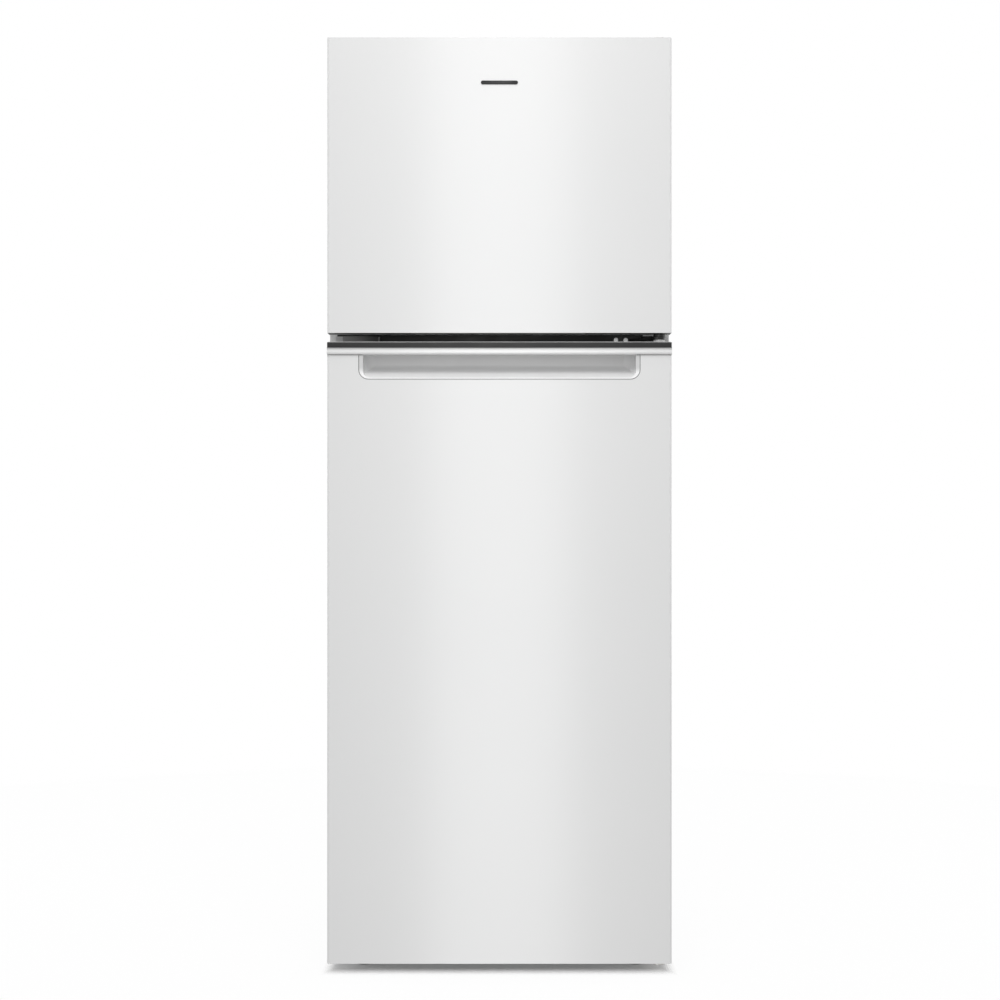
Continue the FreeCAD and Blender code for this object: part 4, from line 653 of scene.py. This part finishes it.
# ---- pieces on the doors ------------------------------------------------------------------------------
def badge():
    """A plain dark pill-shaped plate near the top of the upper door, with a raised rim."""
    low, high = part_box("freezer_door_skin")
    half_length = 32 * MM
    half_height = 3.2 * MM
    drop = 78 * MM
    z = high.z - drop
    span = (-half_length, half_length, z - half_height, z + half_height)

    def make(bm):
        plate(bm, "y", span, low.y - 0.8 * MM, low.y, half_height, 0.3 * MM)
        rim = [(0.0, low.y - 1.3 * MM), (0.7 * MM, low.y - 1.3 * MM), (0.7 * MM, low.y), (0.0, low.y)]
        swept_ring(bm, "y", span, half_height, rim)

    return smooth(piece("badge", make, "dark_moulding", "freezer_door"), 30)


# (inset, height) in mm: the base, the fold, the magnet's sleeve, and back down the inner side
GASKET_PROFILE = (
    (0.5, 0.0), (13.5, 0.0), (13.5, 1.6), (9.6, 2.6), (9.0, 4.2), (12.8, 5.6), (12.8, 10.2),
    (12.0, 10.9), (2.0, 10.9), (1.2, 10.2), (1.2, 5.6), (5.0, 4.2), (4.4, 2.6), (0.5, 1.6),
)
GASKET_RADIUS = 16 * MM


def gasket_bellows(door):
    """Magnetic gasket: a base in the liner, a folded bellows and the magnet's sleeve."""
    node = door + "_gasket"
    low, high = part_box(node)

    def make(bm):
        profile = [(inset * MM, low.y + out * MM) for inset, out in GASKET_PROFILE]
        swept_ring(bm, "y", (low.x, high.x, low.z, high.z), GASKET_RADIUS, profile)

    made = smooth(piece(node + "_bellows", make, "gasket", door), 40)
    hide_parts(node)
    return made


def pocket_seal():
    """Thin dark bead in the seam round the handle pocket, open where the bar covers it."""
    low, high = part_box("handle_pocket")
    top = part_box("handle_trim")[0].z - 1.2 * MM
    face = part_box("fridge_door_skin")[0].y
    radius = 16 * MM
    corner = 7
    profile = ((-0.2, -0.15), (0.9, -0.15), (0.9, 0.7), (-0.2, 0.7))

    def make(bm):
        loops = []
        for grow, y in profile:
            ring = outline(low.x, high.x, low.z, top + 2 * radius, radius, -grow * MM)
            bottom = ring[3 * corner:] + ring[:corner]
            ends = (bottom[0][0], top), (bottom[-1][0], top)
            path = [ends[0]] + bottom + [ends[1]]
            loops.append([bm.verts.new((u, face + y * MM, v)) for u, v in path])
        bridge(bm, loops + loops[:1], closed=False)

    return smooth(piece("pocket_seal", make, "seam_rubber", "fridge_door"), 40)


def cap_painted_highlight():
    """Light strip along the upper front edge of the lower door's dark cap: a painted highlight where the
    rounded edge catches the light.
    """
    low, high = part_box("fridge_door_top_cap")
    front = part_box("fridge_door_skin")[0].y
    edge = 1.5 * MM

    def make(bm):
        span = (front + 2.0 * MM, front + 5.0 * MM, high.z - 0.4 * MM, high.z + 0.9 * MM)
        plate(bm, "x", span, low.x + edge, high.x - edge, 0.5 * MM)

    return smooth(piece("cap_painted_highlight", make, "gasket", "fridge_door"))


def liner_ribs(door):
    """Shallow ribs across the recess of a door's liner, between the bins."""
    low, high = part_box(door + "_liner")
    bin_low, bin_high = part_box(door + "_bin_lower")
    floor = bin_low.y - 1.0 * MM
    half = bin_high.x - 22 * MM
    count = 16 if door == "fridge_door" else 8
    margin = 130 * MM
    width = 4 * MM

    def make(bm):
        for z in spread(count, low.z + margin, high.z - margin):
            span = (-half, half, z, z + width)
            plate(bm, "y", span, floor - 0.6 * MM, floor + 0.7 * MM, width / 2)

    return smooth(piece(door + "_liner_ribs", make, "white_moulding", door))


def bin_ribs(node, door):
    """Upright ribs and a rail on the side of a bin that faces the shelves."""
    low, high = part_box(node)
    half = high.x - 26 * MM

    def make(bm):
        for x in spread(13, -half, half):
            span = (x - 1.2 * MM, x + 1.2 * MM, low.z + 9 * MM, high.z - 12 * MM)
            plate(bm, "y", span, high.y - 1.2 * MM, high.y - 0.1 * MM, 1.0 * MM)

    return smooth(piece(node + "_ribs", make, "clear_plastic", door))


def bin_band(node, door):
    """Bright band let into the top rail of a bin."""
    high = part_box(node)[1]
    half = high.x - 22 * MM

    def make(bm):
        span = (-half, half, high.z - 6.2 * MM, high.z - 1.2 * MM)
        plate(bm, "y", span, high.y - 0.6 * MM, high.y + 0.5 * MM, 1.5 * MM)

    return smooth(piece(node + "_band", make, "satin_aluminium", door))


def hinge_bushings():
    """Nylon bushings round the middle hinge's pins, one in each door's cap."""
    low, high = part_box("middle_hinge")
    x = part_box("freezer_door_skin")[1].x - PIN_INSET
    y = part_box("freezer_door_skin")[0].y + PIN_SETBACK
    middle = (low.z + high.z) / 2

    def make_upper(bm):
        rings = [(7.3, 2.3), (9.6, 2.3), (10.0, 2.9), (10.0, 6.6), (9.4, 7.4), (7.3, 7.4)]
        turned(bm, "z", (x, y), [(r * MM, middle + w * MM) for r, w in rings])

    def make_lower(bm):
        rings = [(7.3, -7.4), (9.4, -7.4), (10.0, -6.6), (10.0, -2.9), (9.6, -2.3), (7.3, -2.3)]
        turned(bm, "z", (x, y), [(r * MM, middle + w * MM) for r, w in rings])

    smooth(piece("upper_bushing", make_upper, "black_plastic", "freezer_door"))
    smooth(piece("lower_bushing", make_lower, "white_moulding", "fridge_door"))


def spare_pin_plug():
    """Plug in the spare hinge hole on the upper door's top cap."""
    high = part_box("freezer_door_top_cap")[1]
    x = PIN_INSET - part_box("freezer_door_skin")[1].x
    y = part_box("freezer_door_skin")[0].y + PIN_SETBACK
    rings = [(7.5, -0.2), (7.5, 0.5), (7.0, 0.85), (3.0, 0.95), (1.0, 0.7)]

    def make(bm):
        turned(bm, "z", (x, y), [(r * MM, high.z + w * MM) for r, w in rings])

    smooth(piece("spare_pin_plug", make, "white_moulding", "freezer_door"))


# ---- pieces on the cabinet ----------------------------------------------------------------------------
def mullion_painted_shade():
    """Dark sheet over the steel bar between the doors: painted shade that makes the gap between the
    doors dark.
    """
    low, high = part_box("mullion_bar")
    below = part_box("fridge_door_gasket")[1].z + 1.5 * MM
    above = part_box("freezer_door_gasket")[0].z - 1.5 * MM
    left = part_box("hinge_hole_plugs")[0].x

    def make(bm):
        plate(bm, "y", (left + 2 * MM, high.x - 2 * MM, below, above), low.y - 1.3 * MM, low.y, 2 * MM)

    return smooth(piece("mullion_painted_shade", make, "dark_moulding", "cabinet"))


def spare_hinge_painted_shade():
    """Dark sheet over the block at the spare hinge's place, at the other end of the gap: painted shade
    on the block in the gap.
    """
    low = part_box("hinge_hole_plugs")[0]
    gap_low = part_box("fridge_door_top_cap")[1].z
    gap_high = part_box("freezer_door_skin")[0].z
    middle = (gap_low + gap_high) / 2
    half_height = 6.6 * MM
    half_clip = 5.0 * MM

    def make(bm):
        span = (low.x + 12 * MM, low.x + 78 * MM, middle - half_height, middle + half_height)
        plate(bm, "y", span, low.y - 0.8 * MM, low.y + 3.2 * MM, 3 * MM, 0.8 * MM)

    def make_clip(bm):
        span = (low.x + 74 * MM, low.x + 77 * MM, middle - half_clip, middle + half_clip)
        plate(bm, "y", span, low.y - 1.4 * MM, low.y, 1.2 * MM)

    smooth(piece("spare_hinge_painted_shade", make, "cover_painted_shade", "cabinet"))
    smooth(piece("cover_clip", make_clip, "grey_moulding", "cabinet"))


def rear_beads():
    """Two rounded rectangles pressed out of the back panel, to stiffen it."""
    low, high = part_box("rear_panel")
    face = high.y
    middle = (low.z + high.z) / 2
    margin = 55 * MM
    radius = 50 * MM
    second = 34.0
    halves = ((low.z + margin, middle - margin / 2), (middle + margin / 2, high.z - margin))
    arch = [(0.0, -0.3), (1.5, 0.5), (4.0, 1.5), (8.0, 1.5), (10.5, 0.5), (12.0, -0.3)]

    def make(bm):
        for z0, z1 in halves:
            for inward in (0.0, second):
                span = (low.x + margin, high.x - margin, z0, z1)
                profile = [((inset + inward) * MM, face + out * MM) for inset, out in arch]
                swept_ring(bm, "y", span, radius, profile)

    return smooth(piece("rear_panel_beads", make, "galvanised_steel", "cabinet"), 50)


def foam_plugs():
    """Domed plugs in the holes that the foam was poured through."""
    low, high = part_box("rear_panel")
    rings = [(17, -0.2), (17, 0.4), (16, 0.9), (12, 1.0), (11, 0.5), (4, 0.5), (3, 0.9)]
    across, margin = 150 * MM, 250 * MM
    places = [(x, z) for x in (-across, across) for z in (low.z + margin, high.z - margin)]

    def make(bm):
        for place in places:
            turned(bm, "y", place, [(r * MM, high.y + w * MM) for r, w in rings])

    return smooth(piece("foam_plugs", make, "black_plastic", "cabinet"))


def rear_rivets():
    """Small domed rivets round the edge of the back panel."""
    low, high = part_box("rear_panel")
    edge = 9 * MM
    rings = [(2.6, -0.1), (2.6, 0.3), (2.2, 0.8), (1.2, 1.2), (0.3, 1.3)]
    levels = spread(9, low.z + 40 * MM, high.z - edge)
    sides = [(x, z) for x in (low.x + edge, high.x - edge) for z in levels]
    top = [(x, high.z - edge) for x in spread(5, low.x + 90 * MM, high.x - 90 * MM)]

    def make(bm):
        for place in sides + top:
            turned(bm, "y", place, [(r * MM, high.y + w * MM) for r, w in rings], 16)

    return smooth(piece("rear_rivets", make, "zinc_plate", "cabinet"))


def blank_plate():
    """A plain plate where the maker's data would be."""
    low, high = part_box("rear_cover")

    def make(bm):
        span = (low.x + 60 * MM, low.x + 130 * MM, high.z - 20 * MM, high.z - 6 * MM)
        plate(bm, "y", span, high.y - 0.1 * MM, high.y + 0.35 * MM, 2 * MM, 0.1 * MM)

    return smooth(piece("blank_plate", make, "satin_aluminium", "cabinet"))


def refrigerant_pipes():
    """Copper pipes between the compressor, the compartment's roof and the condenser."""
    low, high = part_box("compressor")
    x = (low.x + high.x) / 2
    y = low.y + 64.5 * MM
    top = high.z - 14 * MM
    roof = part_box("base_pan")[1].z - 2 * MM
    coil_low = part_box("condenser")[0]
    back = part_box("rear_panel")[1].y - 30 * MM

    def make(bm):
        first = (x - 15.5 * MM, y - 18.6 * MM)
        tube(bm, [(*first, top + 2 * MM), (*first, roof)], 3.2 * MM)
        second = (x + 18.6 * MM, y + 6.2 * MM)
        run = top + 24 * MM
        path = [
            (*second, top + 4 * MM),
            (*second, run),
            (second[0], back, run),
            (x - 80 * MM, back, run),
            (x - 80 * MM, back, coil_low.z + 26 * MM),
            (coil_low.x + 190 * MM, back, coil_low.z + 26 * MM),
        ]
        tube(bm, path, 2.4 * MM, 16 * MM)
        process = (x - 34 * MM, y + 30 * MM)
        end = (process[0] - 22 * MM, process[1], top + 6 * MM)
        side = [(*process, top - 40 * MM), (*process, top - 2 * MM), end]
        tube(bm, side, 2.6 * MM, 12 * MM)

    return smooth(piece("refrigerant_pipes", make, "copper", "cabinet"), 60)


def compartment_wires():
    """Leads from the compressor's relay box to the fan motor."""
    low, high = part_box("compressor")
    x = (low.x + high.x) / 2
    fan_low, fan_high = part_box("condenser_fan_motor")
    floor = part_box("base_pan")[0].z + 20 * MM
    relay = (x - 20 * MM, high.y - 8 * MM, low.z + 60 * MM)
    far = ((fan_low.x + fan_high.x) / 2, fan_low.y + 12 * MM, fan_low.z + 20 * MM)
    leads = 3
    pitch = 3.2 * MM

    def make(bm):
        for i in range(leads):
            d = i * pitch
            path = [
                (relay[0] - d, relay[1], relay[2]),
                (relay[0] - 50 * MM - d, relay[1] + 4 * MM, floor + 60 * MM),
                (relay[0] - 70 * MM, low.y - 20 * MM + d, floor + 50 * MM),
                (far[0] + 40 * MM, far[1] + d, far[2] + 60 * MM),
                (far[0] + 10 * MM, far[1] + d, far[2] + 30 * MM),
            ]
            tube(bm, path, 1.2 * MM, 26 * MM, 8)

    return smooth(piece("compartment_wires", make, "black_plastic", "cabinet"), 60)


def drain_hose():
    """Ribbed hose from the compartment's roof into the drain pan."""
    low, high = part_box("drain_pan")
    centre = ((low.x + high.x) / 2 + 20 * MM, (low.y + high.y) / 2)
    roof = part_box("base_pan")[1].z - 1 * MM
    profile = []
    for i, z in enumerate(spread(41, high.z + 2 * MM, roof)):
        profile.append((6.5 * MM if i % 2 else 7.6 * MM, z))

    def make(bm):
        turned(bm, "z", centre, profile, 20)

    return smooth(piece("drain_hose", make, "grey_moulding", "cabinet"), 60)


def wall_flutes():
    """Upright flutes moulded in the back wall of the fresh food compartment."""
    duct_low, duct_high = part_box("air_duct")
    wall = duct_high.y
    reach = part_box("fridge_shelf_lower")[1].x - 24 * MM
    inner = duct_high.x + 14 * MM
    places = spread(8, inner, reach)

    def make(bm):
        for x in places + [-x for x in places]:
            span = (x - 2.5 * MM, x + 2.5 * MM, duct_low.z, duct_high.z - 22 * MM)
            plate(bm, "y", span, wall - 1.4 * MM, wall + 0.4 * MM, 2.4 * MM, 0.6 * MM)

    return smooth(piece("wall_flutes", make, "white_moulding", "cabinet"))


def shelf_band(node, band):
    """Bright strip along the front of a glass shelf."""
    low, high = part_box(node)
    half = high.x - 16 * MM

    def make(bm):
        span = (-half, half, high.z - 19.5 * MM, high.z - 12.5 * MM)
        plate(bm, "y", span, low.y - 0.5 * MM, low.y + 0.4 * MM, 2 * MM)

    return smooth(piece(band, make, "satin_aluminium", "cabinet"))


def dial_ticks():
    """Raised marks round the temperature dial, longer towards the cold end."""
    low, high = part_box("temperature_knob")
    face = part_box("control_housing")[0].y
    x, z = (low.x + high.x) / 2, (low.z + high.z) / 2

    def make(bm):
        for i, degrees in enumerate(spread(7, 210, -30)):
            angle = math.radians(degrees)
            outward = Vector((math.cos(angle), 0.0, math.sin(angle)))
            across = Vector((-outward.z, 0.0, outward.x)) * (0.5 + 0.08 * i) * MM
            start = Vector((x, 0.0, z)) + outward * 19.2 * MM
            end = start + outward * (1.6 + 0.25 * i) * MM
            if max(start.z, end.z) > z + 19 * MM or min(start.z, end.z) < z - 15 * MM:
                continue
            corners = (start - across, start + across, end + across, end - across)
            front = [bm.verts.new((c.x, face - 0.4 * MM, c.z)) for c in corners]
            back = [bm.verts.new((c.x, face + 0.2 * MM, c.z)) for c in corners]
            bridge(bm, [front, back])
            bm.faces.new(front)
            bm.faces.new(back)

    return piece("dial_ticks", make, "motor_steel", "cabinet")


def lamp_bulb():
    """Frosted bulb and its socket inside the control housing."""
    low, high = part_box("lamp_lens")
    y = (low.y + high.y) / 2
    z = high.z + 8 * MM
    x = low.x + 18 * MM
    glass = [(3, 0), (5.5, 3), (8.5, 12), (9.5, 22), (8.5, 31), (5.5, 37), (1.0, 40)]
    socket = [(7.5, -14), (7.5, -2), (6.5, 0), (6.5, 2)]

    def make_glass(bm):
        turned(bm, "x", (y, z), [(r * MM, x + 14 * MM + w * MM) for r, w in glass], 20)

    def make_socket(bm):
        turned(bm, "x", (y, z), [(r * MM, x + 14 * MM + w * MM) for r, w in socket], 20)

    smooth(piece("lamp_bulb", make_glass, "frosted_plastic", "cabinet"), 60)
    smooth(piece("lamp_socket", make_socket, "black_plastic", "cabinet"))


def crisper_ribs():
    """Upright ribs down the front of the crisper drawer."""
    low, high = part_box("crisper_drawer")
    half = high.x - 60 * MM
    lean = 7 * MM
    top, foot = high.z - 32 * MM, low.z + 16 * MM
    face = low.y + 4 * MM
    profile = ((-2, 0.6), (-1, -0.8), (1, -0.8), (2, 0.6))

    def make(bm):
        for x in spread(15, -half, half):
            loops = []
            for z, share in ((foot, 0.94), (top, 0.14)):
                y = face + lean * share
                loops.append([bm.verts.new((x + u * MM, y + v * MM, z)) for u, v in profile])
            bridge(bm, loops)
            bm.faces.new(loops[0])
            bm.faces.new(loops[1])

    return piece("crisper_ribs", make, "clear_plastic", "crisper")


# ---- everything ---------------------------------------------------------------------------------------
place_camera()
light_world()
make_floor()
paint_cad()
badge()
pocket_seal()
cap_painted_highlight()
mullion_painted_shade()
spare_hinge_painted_shade()
hinge_bushings()
spare_pin_plug()
for door, bins in (("freezer_door", ("lower", "upper")), ("fridge_door", ("lower", "middle", "upper"))):
    gasket_bellows(door)
    liner_ribs(door)
    for level in bins:
        bin_ribs(f"{door}_bin_{level}", door)
        bin_band(f"{door}_bin_{level}", door)
rear_beads()
foam_plugs()
rear_rivets()
blank_plate()
refrigerant_pipes()
compartment_wires()
drain_hose()
wall_flutes()
for shelf in ("fridge_shelf_lower", "fridge_shelf_upper"):
    shelf_band(shelf, shelf + "_band")
dial_ticks()
lamp_bulb()
crisper_ribs()

place_lights()

scene = bpy.context.scene
scene.view_settings.view_transform = "Standard"
scene.view_settings.look = "None"
